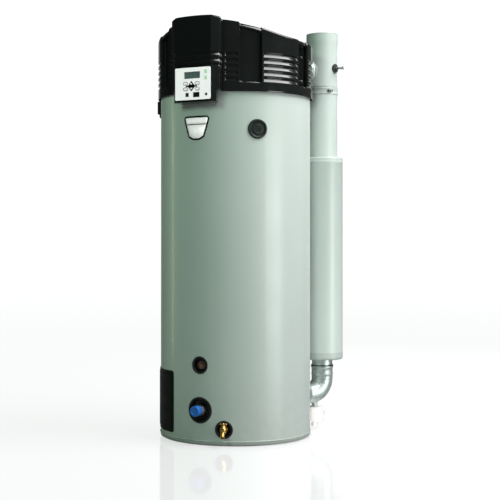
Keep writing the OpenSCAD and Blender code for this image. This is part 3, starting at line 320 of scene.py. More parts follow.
def make_materials():
    """One finish for each slot of the record."""
    made = {"display_glass": display_glass("display_glass")}

    def add(name, *values, kind=finish, **options):
        made[name] = kind(name, *values, **options)

    add("jacket_paint", (0.515, 0.575, 0.545), kind=powder_coat, waves=0.004)
    add("pipe_paint", (0.47, 0.535, 0.5), kind=powder_coat)
    add("foam", (0.8, 0.7, 0.42), 0.9, tint=0.15, tint_scale=30.0, grain=0.8, grain_scale=260.0,
        grain_depth=0.001, specular=0.2)
    add("tank_steel", (0.42, 0.44, 0.45), 0.42, kind=brushed)
    add("collar_black", (0.018, 0.018, 0.017), 0.45, grain=0.3, grain_scale=900.0)
    add("heat_steel", (0.34, 0.32, 0.3), 0.5, (1, 1, 1), kind=brushed)
    add("anode_metal", (0.42, 0.43, 0.42), 0.6, 0.8, grain=0.5, grain_scale=200.0)
    add("burner_steel", (0.5, 0.5, 0.5), 0.35, kind=brushed)
    add("cast_alloy", (0.45, 0.46, 0.47), 0.5, 0.85, grain=0.5, grain_scale=320.0)
    add("zinc_steel", (0.5, 0.5, 0.46), 0.35, 0.95, tint=0.15, grain=0.2)
    add("fan_grey", (0.32, 0.33, 0.34), 0.45, 0.7, grain=0.2)
    add("motor_black", (0.025, 0.025, 0.027), 0.5, grain=0.4, grain_scale=500.0)
    add("valve_body", (0.2, 0.21, 0.22), 0.5, 0.6, grain=0.4, grain_scale=320.0)
    add("gas_pipe", (0.62, 0.45, 0.03), 0.35, tint=0.05, coat=0.2)
    add("ceramic", (0.8, 0.79, 0.75), 0.2, coat=0.5, tint=0.03)
    add("plate_steel", (0.3, 0.31, 0.32), 0.45, kind=brushed)
    add("cover_black", (0.009, 0.012, 0.008), 0.42, grain=0.25, grain_scale=420.0, specular=0.25)
    add("plug_blue", (0.025, 0.17, 0.62), 0.32, tint=0.05, grain=0.15, coat=0.1)
    add("sensor_brass", (0.45, 0.27, 0.17), 0.34, 0.9, tint=0.15, grain=0.2)
    add("cap_grey", (0.012, 0.017, 0.015), 0.36, grain=0.2, grain_scale=600.0, tint=0.1,
        specular=0.35)
    add("valve_brass", (0.62, 0.4, 0.13), 0.28, 0.95, tint=0.14, tint_scale=60.0, grain=0.25,
        grain_scale=380.0)
    add("hood_black", (0.0045, 0.0062, 0.0055), 0.14, tint=0.25, tint_scale=6.0, grain=0.08,
        grain_scale=260.0, rough_spread=0.05, coat=0.3, specular=0.4)
    add("gland_grey", (0.06, 0.06, 0.065), 0.5, grain=0.3)
    add("fascia_white", (0.88, 0.88, 0.88), 0.3, tint=0.01, grain=0.08)
    add("board_green", (0.02, 0.14, 0.06), 0.4, tint=0.2, tint_scale=120.0, grain=0.3)
    add("bezel_black", (0.006, 0.006, 0.006), 0.2, grain=0.05)
    add("key_silver", (0.86, 0.86, 0.88), 0.3, tint=0.03, grain=0.1)
    add("key_grey", (0.78, 0.78, 0.82), 0.34, tint=0.03, grain=0.1)
    add("switch_black", (0.01, 0.01, 0.012), 0.4, grain=0.3)
    add("socket_black", (0.01, 0.01, 0.01), 0.45, grain=0.3)
    add("lamp_green", (0.42, 0.72, 0.44), 0.22, tint=0.12, tint_scale=220.0, coat=0.4)
    add("badge_white", (0.88, 0.89, 0.88), 0.3, tint=0.01, grain=0.06)
    add("flue_aluminium", (0.7, 0.79, 0.76), 0.42, kind=galvanised)
    add("seal_rubber", (0.02, 0.02, 0.02), 0.55, grain=0.3)
    add("nipple_grey", (0.3, 0.32, 0.32), 0.35, kind=brushed)
    add("cap_white", (0.72, 0.72, 0.7), 0.45, tint=0.03)
    add("siphon_white", (0.9, 0.86, 0.85), 0.42, tint=0.02, grain=0.2)
    return made


# ---- Making pieces ----

def outward(bearing):
    """Unit vector away from the tank's axis, at a bearing in degrees from the heater's front."""
    return Vector((sin(radians(bearing)), -cos(radians(bearing)), 0))


def facing(bearing, z, reach, axis=(0, 0)):
    """Frame whose +Z points outwards, +Y up and +X to the right of someone who looks at it."""
    out = outward(bearing)
    up = Vector((0, 0, 1))
    right = up.cross(out)
    place = Vector((axis[0], axis[1], z)) + out * reach
    return Matrix((
        (right.x, up.x, out.x, place.x),
        (right.y, up.y, out.y, place.y),
        (right.z, up.z, out.z, place.z),
        (0, 0, 0, 1)))


def add_piece(name, bm, slot, at=None, body=HEATER, replaces=(), material=None, bevel=0.0,
              steps=2, angle=30):
    """Makes a piece that rides on a body, placed by a matrix, with rounded edges if asked."""
    if at is not None:
        bm.transform(at)
    bmesh.ops.recalc_face_normals(bm, faces=bm.faces)
    mesh = bpy.data.meshes.new(name)
    bm.to_mesh(mesh)
    bm.free()
    mesh.materials.append(material or MATERIALS[slot])
    piece = bpy.data.objects.new(name, mesh)
    bpy.context.scene.collection.objects.link(piece)
    if bevel:
        rounding = piece.modifiers.new("rounding", "BEVEL")
        rounding.width = bevel
        rounding.segments = steps
        rounding.limit_method = "ANGLE"
        rounding.angle_limit = radians(angle)
        rounding.harden_normals = True
    for polygon in mesh.polygons:
        polygon.use_smooth = True
    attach(piece, body)
    if replaces:
        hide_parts(*replaces)
    return piece


def thicken(piece, thickness):
    """Gives a surface a wall on its inner side."""
    wall = piece.modifiers.new("wall", "SOLIDIFY")
    wall.thickness = thickness
    wall.offset = -1.0


def mm(points, radius=0.0):
    """In metres, a profile or outline written in millimetres, from a radius outwards if given."""
    return [(radius + a * 0.001, b * 0.001) for a, b in points]


def turned(angle, axis):
    return Matrix.Rotation(radians(angle), 4, axis)


def shifted(x, y, z):
    return Matrix.Translation((x, y, z))


def soften(points, radius, steps=4):
    """Rounds the inner corners of an open outline of (a, b) points."""
    out = [Vector(points[0])]
    for p, q, r in zip(points, points[1:], points[2:]):
        p, q, r = Vector(p), Vector(q), Vector(r)
        a, b = p - q, r - q
        cut = min(radius, 0.45 * a.length, 0.45 * b.length)
        start, end = q + a.normalized() * cut, q + b.normalized() * cut
        for i in range(steps + 1):
            s = i / steps
            out.append(start.lerp(q, s).lerp(q.lerp(end, s), s))
    out.append(Vector(points[-1]))
    return [(v.x, v.y) for v in out]


def circle(steps):
    """Cosine and sine of the points of a circle."""
    return [(cos(2 * pi * i / steps), sin(2 * pi * i / steps)) for i in range(steps)]


def bridge(bm, a, b):
    """Joins two rings of vertices with faces; one of them may be a single point."""
    steps = max(len(a), len(b))
    for i in range(steps):
        j = (i + 1) % steps
        if len(a) == 1:
            bm.faces.new((a[0], b[i], b[j]))
        elif len(b) == 1:
            bm.faces.new((a[i], a[j], b[0]))
        else:
            bm.faces.new((a[i], a[j], b[j], b[i]))


def spin(profile, steps=64, closed=False):
    """Surface of revolution about +Z of (radius, height) points."""
    bm = bmesh.new()
    rings = [[bm.verts.new((r * c, r * s, h)) for c, s in (circle(steps) if r > 1e-6 else [(0, 0)])]
             for r, h in profile]
    for a, b in zip(rings, rings[1:] + rings[:1] if closed else rings[1:]):
        bridge(bm, a, b)
    return bm


def lathe(profile, steps, radius, corner_steps):
    """Surface of revolution of a profile in millimetres, whose corners are rounded."""
    return spin(soften(mm(profile), radius, corner_steps), steps)


def prism(outline, low, high):
    """Solid between two heights over a flat outline of (x, y) points."""
    bm = bmesh.new()
    face = bm.faces.new([bm.verts.new((x, y, low)) for x, y in outline])
    top = bmesh.ops.extrude_face_region(bm, geom=[face])["geom"]
    raised = [g for g in top if isinstance(g, bmesh.types.BMVert)]
    bmesh.ops.translate(bm, vec=(0, 0, high - low), verts=raised)
    return bm


def bar(width, length, thickness):
    """Flat strip that starts at the origin and runs up +Y."""
    return prism([(-width / 2, 0.0), (width / 2, 0.0), (width / 2, length), (-width / 2, length)],
                 0.0, thickness)


def box(x, y, z):
    """Cuboid between pairs of limits."""
    return prism([(x[0], y[0]), (x[1], y[0]), (x[1], y[1]), (x[0], y[1])], z[0], z[1])


def strips(bm, width):
    """Cuts a flat piece into upright strips, so that it can be bent."""
    xs = [v.co.x for v in bm.verts]
    count = max(1, int((max(xs) - min(xs)) / width))
    for i in range(1, count):
        x = min(xs) + (max(xs) - min(xs)) * i / count
        geom = list(bm.verts) + list(bm.edges) + list(bm.faces)
        bmesh.ops.bisect_plane(bm, geom=geom, dist=1e-7, plane_co=(x, 0, 0), plane_no=(1, 0, 0))
    return bm


def wrap(bm, bearing, z, reach):
    """Bends a flat piece round the tank: +X along the circumference, +Y up, +Z outwards."""
    for v in bm.verts:
        out = outward(bearing + degrees(v.co.x / reach))
        v.co = out * (reach + v.co.z) + Vector((0, 0, z + v.co.y))
    return bm


def merged(*parts):
    """One mesh out of several."""
    whole = bmesh.new()
    for part in parts:
        mesh = bpy.data.meshes.new("part")
        part.to_mesh(mesh)
        whole.from_mesh(mesh)
        bpy.data.meshes.remove(mesh)
        part.free()
    return whole


def moved(bm, matrix):
    bm.transform(matrix)
    return bm


def sweep(path, radii, steps=40, ends=True):
    """Round tube wall along a path in one plane; radii gives its radius at each point."""
    bm = bmesh.new()
    rings = []
    up = (path[1] - path[0]).cross(path[-1] - path[0]).normalized()
    for i, p in enumerate(path):
        along = (path[min(i + 1, len(path) - 1)] - path[max(i - 1, 0)]).normalized()
        side = up.cross(along).normalized()
        rings.append([bm.verts.new(p + radii[i] * (c * side + s * up)) for c, s in circle(steps)])
    for a, b in zip(rings, rings[1:]):
        bridge(bm, a, b)
    if ends:
        bm.faces.new(rings[0])
        bm.faces.new(rings[-1])
    return bm


def hexagon(radius):
    return [(radius * cos(radians(60 * i)), radius * sin(radians(60 * i))) for i in range(6)]


def rounded_rectangle(width, height, radius, steps=6):
    points = []
    for cx, cy, start in ((1, 1, 0), (-1, 1, 90), (-1, -1, 180), (1, -1, 270)):
        for i in range(steps + 1):
            a = radians(start + 90 * i / steps)
            points.append((cx * (width / 2 - radius) + radius * cos(a), cy * (height / 2 - radius)
                           + radius * sin(a)))
    return points


def hull_of(circles, grow=0.0):
    """Convex outline round some circles (x, y, radius)."""
    points = sorted({(round(x + (r + grow) * cos(radians(a)), 6),
                      round(y + (r + grow) * sin(radians(a)), 6)) for x, y, r in circles
                     for a in range(0, 360, 10)})

    def chain(ordered):
        line = []
        for p in ordered:
            while len(line) > 1 and ((line[-1][0] - line[-2][0]) * (p[1] - line[-2][1])
                                     - (line[-1][1] - line[-2][1]) * (p[0] - line[-2][0])) <= 0:
                line.pop()
            line.append(p)
        return line[:-1]

    return chain(points) + chain(points[::-1])


def clipped(outline, limit, above):
    """The part of an outline above or below a height."""
    out = []
    for (x0, y0), (x1, y1) in zip(outline, outline[1:] + outline[:1]):
        inside0, inside1 = (y0 > limit) == above, (y1 > limit) == above
        if inside0:
            out.append((x0, y0))
        if inside0 != inside1:
            s = (limit - y0) / (y1 - y0)
            out.append((x0 + (x1 - x0) * s, limit))
    return out


# ---- Hood ----

HOOD_R = 0.365
HOOD_LOW = 1.579
HOUSING_TOP = 1.6868
ROOF_REAR = 1.8305
ROOF_RISE = 0.081
# distance in front of the axis, and share of the rise
ROOF_SWEEP = [(0.0, 0.0), (0.074, 0.027), (0.126, 0.075), (0.178, 0.18), (0.219, 0.32),
              (0.254, 0.47), (0.273, 0.545), (0.294, 0.635), (0.321, 0.765), (0.341, 0.852),
              (0.385, 0.92), (0.415, 1.0), (0.43, 1.04)]
BLOCK_CORNERS = [(0.09, 0.415), (0.125, 0.39), (0.11, 0.3481)]
HOUSING_CORNERS = [(0.09, 0.415), (0.108, 0.396), (0.0865, 0.342)]
GROOVES = [1.636 + 0.02725 * i for i in range(5)]
GROOVE_DEPTH = 0.0065
GROOVE_ABOVE, GROOVE_BELOW = 0.0065, 0.013    # reach of a groove from its centre
CHANNELS = [(29.5, 46.0), (79.0, 93.0)]
CHANNEL_DEPTH = 0.025
CHANNEL_LEDGE = 1.614
CHANNEL_CORNER = 0.014
LEDGE_ROUND = 0.01
HOOD_WALL = 0.003
GROOVE_SPANS = [(19.6, 28.4), (47.1, 77.6), (94.6, 180.0)]
SPLIT_Y = -0.02
JUNCTION = degrees(asin(BLOCK_CORNERS[2][0] / HOOD_R))


def ramp(t):
    t = min(1.0, max(0.0, t))
    return t * t * (3 - 2 * t)


def smooth_table(table, x):
    """Smooth curve through a table of points that never overshoots them."""
    i = min(max(bisect_right([p[0] for p in table], x) - 1, 0), len(table) - 2)

    def slope(k):
        if k <= 0 or k >= len(table) - 1:
            return 0.0 if k <= 0 else (table[-1][1] - table[-2][1]) / (table[-1][0] - table[-2][0])
        before = (table[k][1] - table[k - 1][1]) / (table[k][0] - table[k - 1][0])
        after = (table[k + 1][1] - table[k][1]) / (table[k + 1][0] - table[k][0])
        return 2 * before * after / (before + after) if before * after > 0 else 0.0

    (x0, y0), (x1, y1) = table[i], table[i + 1]
    h = x1 - x0
    s = (x - x0) / h
    m0, m1 = slope(i), slope(i + 1)
    return ((1 + 2 * s) * (1 - s) ** 2 * y0 + s * (1 - s) ** 2 * h * m0
            + s * s * (3 - 2 * s) * y1 + s * s * (s - 1) * h * m1)


def roof_height(x, y):
    """The roof sweeps up to the front block, whose top is slightly crowned."""
    share = smooth_table(ROOF_SWEEP, -y) if y < 0 else 0.0
    crown = 0.0045 * max(0.0, 1 - (x / 0.11) ** 2) * ramp((-y - 0.25) / 0.12)
    return ROOF_REAR + ROOF_RISE * share + crown


def arc_corner(p, q, r, radius, steps):
    """Points of the fillet at q between the lines p-q and q-r."""
    a = (Vector(p) - Vector(q)).normalized()
    b = (Vector(r) - Vector(q)).normalized()
    half = acos(max(-1, min(1, a.dot(b)))) / 2
    cut = radius / tan(half)
    centre = Vector(q) + (a + b).normalized() * (radius / sin(half))
    start = Vector(q) + a * cut - centre
    end = Vector(q) + b * cut - centre
    turn = start.angle_signed(end)
    return [centre + Matrix.Rotation(-turn * i / steps, 2) @ start for i in range(steps + 1)]


def front_outline(corners, radii):
    """Right half of a front outline in plan, from the centre line to its last corner."""
    points = [Vector((x, -y)) for x, y in corners]
    front, shoulder, end = points
    line = [Vector((front.x * 0.78 * i / 8, front.y)) for i in range(8)]
    line += arc_corner((0, front.y), front, shoulder, radii[0], 8)
    line += arc_corner(front, shoulder, end, radii[1], 6)
    last = line[-1]
    return line + [last.lerp(end, i / 3) for i in (1, 2, 3)]


def wall_bearings():
    """Bearings of the wall's columns, closer together at the channels and the grooves' ends."""
    edges = [b for c in CHANNELS for b in c]
    ends = [b for s in GROOVE_SPANS for b in s if b < 180]
    marks = {JUNCTION + 0.02, 179.35, 179.62, 179.75, 180.0}
    step = 1.5
    count = int((180 - JUNCTION) / step)
    marks.update(JUNCTION + 0.02 + (180 - JUNCTION) * i / count for i in range(count))
    for edge in edges:
        marks.update(edge + 0.16 * k for k in range(-6, 7))
        marks.update((edge - 2.2, edge - 1.5, edge + 1.5, edge + 2.2))
    for end in ends:
        marks.update(end + 0.22 * k for k in range(-6, 7))
    ordered = sorted(m for m in marks if JUNCTION + 0.02 <= m <= 180)
    kept = [ordered[0]]
    for mark in ordered[1:]:
        if mark - kept[-1] > 0.09:
            kept.append(mark)
    return kept


def channel_depth(bearing, z, roof_edge):
    """Depth of the channels, with a rounded ledge below, which stop under the roof's edge."""
    depth = 0.0
    for a, b in CHANNELS:
        middle, half = (a + b) / 2, radians(b - a) / 2 * HOOD_R
        s = abs(radians(bearing - middle)) * HOOD_R - (half - CHANNEL_CORNER)
        t = CHANNEL_LEDGE + CHANNEL_CORNER - z
        inside = CHANNEL_CORNER - (hypot(max(s, 0), max(t, 0)) + min(max(s, t), 0))
        wall = CHANNEL_DEPTH * ramp(inside / 0.0045)
        if inside < LEDGE_ROUND and t > 0:
            rounded = LEDGE_ROUND - sqrt(LEDGE_ROUND ** 2 - max(inside, 0) ** 2)
            wall += (rounded - wall) * ramp(t / 0.008)
        depth = max(depth, wall * ramp((roof_edge - z) / 0.003))
    return depth


def groove_depth(z, share):
    """Louvre profile: sharp upper edge, flat bottom and a sloping lower shoulder."""
    if share <= 0:
        return 0.0
    for centre in GROOVES:
        d = z - centre
        if -GROOVE_BELOW < d < GROOVE_ABOVE:
            shoulder = (d + GROOVE_BELOW) / 0.012 if d < 0.0 else (GROOVE_ABOVE - d) / 0.0028
            return GROOVE_DEPTH * share * min(1.0, shoulder)
    return 0.0


def groove_share(bearing):
    share = 0.0
    for a, b in GROOVE_SPANS:
        inside = min(bearing - a, b - bearing if b < 180 else 99)
        share = max(share, ramp(inside / 0.9 + 0.3))
    return share


def groove_rows():
    rows = []
    for centre in GROOVES:
        rows += [centre + d for d in (-0.0148, -0.0133, -0.0126, -0.01, -0.007, -0.004, -0.0013,
                                      -0.0006, 0.0012, 0.0034, 0.0041, 0.0053, 0.0062, 0.0068,
                                      0.0082)]
    return rows


def hood_columns():
    """Columns round the hood: plan position, outward normal, kind of wall and bearing."""
    right = front_outline(BLOCK_CORNERS, (0.014, 0.012))
    half = []
    for i, p in enumerate(right):
        before = right[i - 1] if i else Vector((-right[1].x, right[1].y))
        after = right[i + 1] if i + 1 < len(right) else HOOD_R * outward(JUNCTION + 0.5).xy
        along = (after - before).normalized()
        half.append((p, Vector((along.y, -along.x)), "block", 0.0))
    for bearing in wall_bearings():
        out = outward(bearing).xy
        half.append((out * HOOD_R, out, "wall", bearing))
    left = [(Vector((-p.x, p.y)), Vector((-n.x, n.y)), kind, b) for p, n, kind, b in half[1:-1]]
    return half + left[::-1]


def hood_mesh():
    """The whole hood as one sheet: the grooved wall, the rounded roof edge and the roof."""
    zone_top = GROOVES[-1] + 0.0095
    low_rows = [HOOD_LOW + d for d in (0.0, 0.0006, 0.0018, 0.006, 0.018, 0.0255)]
    low_rows += [CHANNEL_LEDGE + 0.0012 * k for k in range(-4, 14)]
    rows = sorted(low_rows + groove_rows())
    rows = [z for i, z in enumerate(rows) if i == 0 or z - rows[i - 1] > 0.0004]
    centre = Vector((0.0, 0.02))
    under_edge = (0.02, 0.012, 0.006, 0.0035, 0.0026, 0.0018, 0.001, 0.0)
    upper, round_steps, rings = 6, 6, 14
    grid = []
    for place, normal, kind, bearing in hood_columns():
        edge_r = 0.009
        if kind == "wall":
            edge_r += 0.011 * channel_depth(bearing, ROOF_REAR - 0.05, ROOF_REAR) / CHANNEL_DEPTH
        inner = place - normal * edge_r
        spring = roof_height(inner.x, inner.y) - edge_r
        heights = rows + [zone_top + (spring - 0.026 - zone_top) * (i / upper)
                          for i in range(1, upper + 1)]
        heights += [spring - drop for drop in under_edge]
        column = []
        for z in heights:
            depth = 0.0012 * (1 - ramp((z - HOOD_LOW) / 0.0015))
            if kind == "block":
                depth += groove_depth(z, 1.0) if z > HOUSING_TOP else 0.0035
            else:
                depth += channel_depth(bearing, z, spring) + groove_depth(z, groove_share(bearing))
                if bearing > 179.6:     # the joint line at the back
                    depth = max(depth, 0.0008)
            p = place - normal * depth
            column.append((p.x, p.y, z))
        for i in range(1, round_steps + 1):
            a = pi / 2 * i / round_steps
            p = place - normal * (edge_r * (1 - cos(a)))
            column.append((p.x, p.y, spring + edge_r * sin(a)))
        for i in range(1, rings):
            p = inner.lerp(centre, i / rings)
            column.append((p.x, p.y, roof_height(p.x, p.y)))
        grid.append(column)
    vertices = [v for column in grid for v in column]
    count = len(grid[0])
    middle = len(vertices)
    vertices.append((*centre, roof_height(*centre)))
    starts = [(i * count, (i + 1) % len(grid) * count) for i in range(len(grid))]
    faces = [(a + k, b + k, b + k + 1, a + k + 1) for a, b in starts for k in range(count - 1)]
    faces += [(a + count - 1, b + count - 1, middle) for a, b in starts]
    return vertices, faces


def make_hood():
    """Splits the sheet into the front and rear covers and gives each its wall thickness."""
    vertices, faces = hood_mesh()
    whole = bpy.data.meshes.new("whole_hood")
    whole.from_pydata(vertices, [], faces)
    whole.validate()
    gap = 0.0005
    for name, side in (("hood_front", -1), ("hood_rear", 1)):
        bm = bmesh.new()
        bm.from_mesh(whole)
        everything = list(bm.verts) + list(bm.edges) + list(bm.faces)
        bmesh.ops.bisect_plane(bm, geom=everything, dist=1e-6, clear_inner=True,
                               plane_co=(0, SPLIT_Y + side * gap, 0), plane_no=(0, side, 0))
        loose = [v for v in bm.verts if not v.link_faces]
        bmesh.ops.delete(bm, geom=loose, context="VERTS")
        thicken(add_piece(name + "_cover", bm, "hood_black", replaces=[name]), HOOD_WALL)
    bpy.data.meshes.remove(whole)


def make_housing():
    """Control housing under the front block, rounded along its lower edges."""
    low, back = 1.53, 0.3532
    half = front_outline(HOUSING_CORNERS, (0.012, 0.012))
    right = [(p.x, p.y) for p in half]
    outline = [(-x, y) for x, y in right[:0:-1]] + right
    start = degrees(atan2(right[-1][0], -right[-1][1]))
    outline += [tuple(back * outward(start - 2 * start * i / 24).xy) for i in range(25)]
    add_piece("control_housing_shell", prism(outline, low, HOUSING_TOP - 0.0008), "hood_black",
              replaces=["control_housing"], bevel=0.006, steps=4, angle=50)


# ---- Jacket and its fittings ----

JACKET_R = 0.3525
FLUE_BEARING, FLUE_LOW = 142.75, 0.173
# bearing and height of the connections
COLD_INLET, HOT_OUTLET, SENSOR, DRAIN = (0, 0.158), (-140, 1.4), (0, 0.359), (18.6, 0.075)
RELIEF_PORT = (43.2, 1.414)
# connection, outer radius and hole of its collar
COLLARS = [(COLD_INLET, 0.059, 0.027), (SENSOR, 0.0395, 0.021), (DRAIN, 0.0405, 0.017),
           (HOT_OUTLET, 0.059, 0.027)]
SEAM_BEARING = 172
BADGE_AT = (-3, 1.424)
# circles (x, y, radius) whose hull is the badge's outline
BADGE = [(-0.052, 0.037, 0.014), (0.052, 0.037, 0.014), (-0.029, -0.034, 0.015),
         (0.029, -0.034, 0.015), (-0.011, -0.0335, 0.0235), (0.011, -0.0335, 0.0235)]
COVER_AT = (-56, 0.182)
# on the fascia: distance to the right of its middle, and height
KEYPAD, DISPLAY = (-0.0065, 1.6), (-0.003, 1.649)


def make_base_pan():
    """Painted pan with a rolled bead along its rim."""
    profile = mm([(0, 0), (337.5, 0), (344, 1.2), (350, 4.5), (353.6, 10), (354.6, 16.5)])
    profile += [(0.3549 + 0.0021 * cos(radians(a)), 0.0216 + 0.0026 * sin(radians(a)))
                for a in range(-60, 151, 30)]
    profile += mm([(352.7, 21.5), (352.7, 7), (339, 6), (336, 3), (0, 3)])
    add_piece("base_pan_rolled", spin(profile, 160), "jacket_paint", replaces=["base_pan"])


def make_jacket_trim():
    """Lap seam at the back and a row of rivets along it."""
    seam = strips(bar(0.014, 1.555, 0.0009), 0.005)
    parts = [wrap(seam, SEAM_BEARING, 0.026, JACKET_R + 0.00005)]
    for i in range(12):
        head = spin(mm([(0, 2.2), (1.8, 1.9), (3, 0.9), (3.2, -0.5)]), 16)
        parts.append(moved(head, facing(SEAM_BEARING, 0.08 + 0.128 * i, JACKET_R + 0.001)))
    add_piece("jacket_lap_seam", merged(*parts), "jacket_paint")


def make_badge():
    """Shield name plate, left blank: white fields on a black plate, with a bar one third down."""
    plate = wrap(strips(prism(hull_of(BADGE), 0.0003, 0.0013), 0.006), *BADGE_AT, JACKET_R)
    add_piece("badge_plate", plate, "bezel_black", replaces=["badge"],
              material=finish("badge_black", (0.004, 0.005, 0.004), 0.34, tint=0.1, grain=0.1,
                              specular=0.3))
    inner = hull_of(BADGE, -0.0078)
    for name, limit, above in (("badge_field_upper", 0.015, True),
                               ("badge_field_lower", 0.011, False)):
        field = wrap(strips(prism(clipped(inner, limit, above), 0.0012, 0.0017), 0.006), *BADGE_AT,
                     JACKET_R)
        add_piece(name, field, "badge_white")


def outline_ring(outer, inner, low, high):
    """Flat ring between two outlines with the same number of points."""
    bm = bmesh.new()
    loops = [[bm.verts.new((x, y, z)) for x, y in outline]
             for outline, z in ((outer, low), (outer, high), (inner, high), (inner, low))]
    for a, b in zip(loops, loops[1:] + loops[:1]):
        bridge(bm, a, b)
    return bm


def oval(grow):
    return hull_of([(-0.0045, 0, 0.005), (0.0045, 0, 0.005)], grow)


def make_panel_details():
    """Printed rings round the oval keys, pale arrow keys, and a frame round the display."""
    rings = []
    for x in (-0.0295, 0.0295):
        for z in (-0.0125, 0.0125):
            ring = outline_ring(oval(0.003), oval(0.0009), 0.0, 0.0003)
            rings.append(moved(ring, shifted(KEYPAD[0] + x, z, 0)))
    add_piece("key_rings", merged(*rings), "bezel_black", at=facing(0, KEYPAD[1], 0.41752),
              material=finish("print_grey", (0.05, 0.05, 0.06), 0.4, grain=0.1))
    for key, turn in (("up", 1), ("down", -1)):
        corners = [(KEYPAD[0] + x, turn * y) for x, y in mm([(-7.8, 7.5), (7.8, 7.5), (0, 14.8)])]
        add_piece(key + "_key_face", prism(corners, 0.0, 0.0003), "key_silver",
                  at=facing(0, KEYPAD[1], 0.41912), body=key + "_key")
        frame["nodes"]["button_" + key].data.materials[0] = MATERIALS["bezel_black"]
    width, height = 0.076, 0.027
    border = outline_ring(rounded_rectangle(width + 0.003, height + 0.003, 0.0018),
                          rounded_rectangle(width, height, 0.0008), -0.0002, 0.0005)
    add_piece("display_frame", border, "bezel_black",
              at=facing(0, DISPLAY[1], 0.4175) @ shifted(DISPLAY[0], 0, 0),
              material=finish("frame_grey", (0.16, 0.17, 0.18), 0.4, grain=0.1))


def screw_head(radius, height):
    """Pan head screw with a cross recess, standing on its seat."""
    bm = spin([(radius * a, height * b) for a, b in (
        (0, 0.55), (0.16, 0.55), (0.3, 1), (0.62, 0.92), (0.9, 0.6), (1, 0.15))]
        + [(radius, -0.0006), (0, -0.0006)], 24)
    for v in bm.verts:
        if v.co.z > height * 0.5 and hypot(v.co.x, v.co.y) < radius * 0.35:
            across = min(abs(v.co.x), abs(v.co.y))
            v.co.z -= height * 0.5 * ramp(1 - across / (radius * 0.12))
    return bm


def make_inspection_cover():
    """Curved black cover with rounded corners, a raised border and four screws."""
    bearing, z = COVER_AT
    reach = 0.355
    width, height = radians(60) * reach, 0.28

    def plate(outline, low, high):
        return wrap(strips(prism(outline, low, high), 0.008), bearing, z, JACKET_R + 0.0003)

    add_piece("inspection_cover_plate", plate(rounded_rectangle(width, height, 0.014), 0.0, 0.003),
              "cover_black", replaces=["inspection_cover"], bevel=0.0011, angle=50)
    inner = rounded_rectangle(width - 0.03, height - 0.03, 0.01)
    add_piece("inspection_cover_panel", plate(inner, 0.0029, 0.005), "cover_black", bevel=0.0012,
              angle=50)
    heads = []
    for dx in (-1, 1):
        for dz in (-1, 1):
            place = facing(bearing + degrees(dx * (width / 2 - 0.0075) / reach),
                           z + dz * (height / 2 - 0.0075), reach + 0.0008)
            heads.append(moved(screw_head(0.0042, 0.0016), place))
    add_piece("inspection_cover_screws", merged(*heads), "zinc_steel",
              material=finish("blackened_screw", (0.03, 0.03, 0.03), 0.35, 0.6, grain=0.2))


def make_relief_cap():
    """Rubbery cap with a rounded rim, a dished face and a small centre pip."""
    profile = soften(mm([(0, 2.2), (17, 2.2), (18, 2.8), (19.5, 2.8), (20.5, 2), (32.5, 1.6),
                         (35, 6.2), (38.5, 7.2), (43, 6.2), (44.1, 3), (44.1, 0.3), (40, 0.3)]),
                     0.0012, 3)
    add_piece("relief_port_cap_moulding", wrap(spin(profile, 96), *RELIEF_PORT, JACKET_R),
              "cap_grey", replaces=["relief_port_cap"])


def make_collars():
    """Black grommets round the ports, with a rounded lip and a deep cup, and the flue's collar."""
    rings = []
    for (bearing, z), r, hole in COLLARS:
        profile = [(r, 0.0003), (r, 0.0017), (r - 0.0009, 0.0027), (r - 0.0028, 0.003),
                   (r - 0.0068, 0.0026), (r - 0.0086, 0.0008), (r - 0.0094, -0.004),
                   (r - 0.0096, -0.0235), (r - 0.011, -0.0258), (hole + 0.0015, -0.0262),
                   (hole, -0.027), (hole, -0.0284)]
        rings.append(wrap(spin(profile, 96), bearing, z, JACKET_R))
    profile = mm([(68, 0.3), (68, 1.8), (66.4, 2.7), (58, 2.7), (51.5, 2.2), (51.2, -10)])
    rings.append(wrap(spin(profile, 96), FLUE_BEARING, FLUE_LOW, JACKET_R))
    add_piece("port_collar_grommets", merged(*rings), "collar_black", replaces=["port_collars"])


def make_plug():
    """Blue transit plug: knurled barrel with a recessed face."""
    length = 0.03
    profile = soften([(0, length - 0.003), (0.014, length - 0.003), (0.0155, length),
                      (0.0218, length), (0.0234, length - 0.0022), (0.0234, 0.0), (0.0203, -0.0004),
                      (0.0203, -0.022), (0, -0.022)], 0.0012, 3)
    bm = spin(profile, 120)
    for v in bm.verts:
        radius = hypot(v.co.x, v.co.y)
        if radius > 0.0231 and 0.004 < v.co.z < length - 0.004:
            turn = degrees(atan2(v.co.y, v.co.x))
            v.co.x, v.co.y = (c * (1 - 0.018 * (turn % 12 > 5.9)) for c in (v.co.x, v.co.y))
    add_piece("cold_inlet_plug_moulding", bm, "plug_blue", at=facing(*COLD_INLET, 0.3722),
              body="cold_plug", replaces=["cold_inlet_plug"])


def threads(radius, length, pitch, start):
    """Profile of ring grooves that stand for a thread, from start outwards."""
    count = int(length / pitch)
    out = []
    for i in range(count):
        h = start + i * pitch
        out += [(radius - 0.0006, h), (radius, h + pitch * 0.3), (radius, h + pitch * 0.5),
                (radius - 0.0006, h + pitch * 0.85)]
    return out


def make_nipples():
    """Threaded ends of the two water connections, over the plain stubs."""
    for name, place in (("cold", COLD_INLET), ("hot", HOT_OUTLET)):
        profile = [(0.0235, -0.028), *threads(0.024, 0.026, 0.0023, -0.027), (0.0234, -0.0002),
                   (0.0208, 0.0001)]
        add_piece("thread_" + name, spin(profile, 72), "tank_steel", at=facing(*place, 0.372))


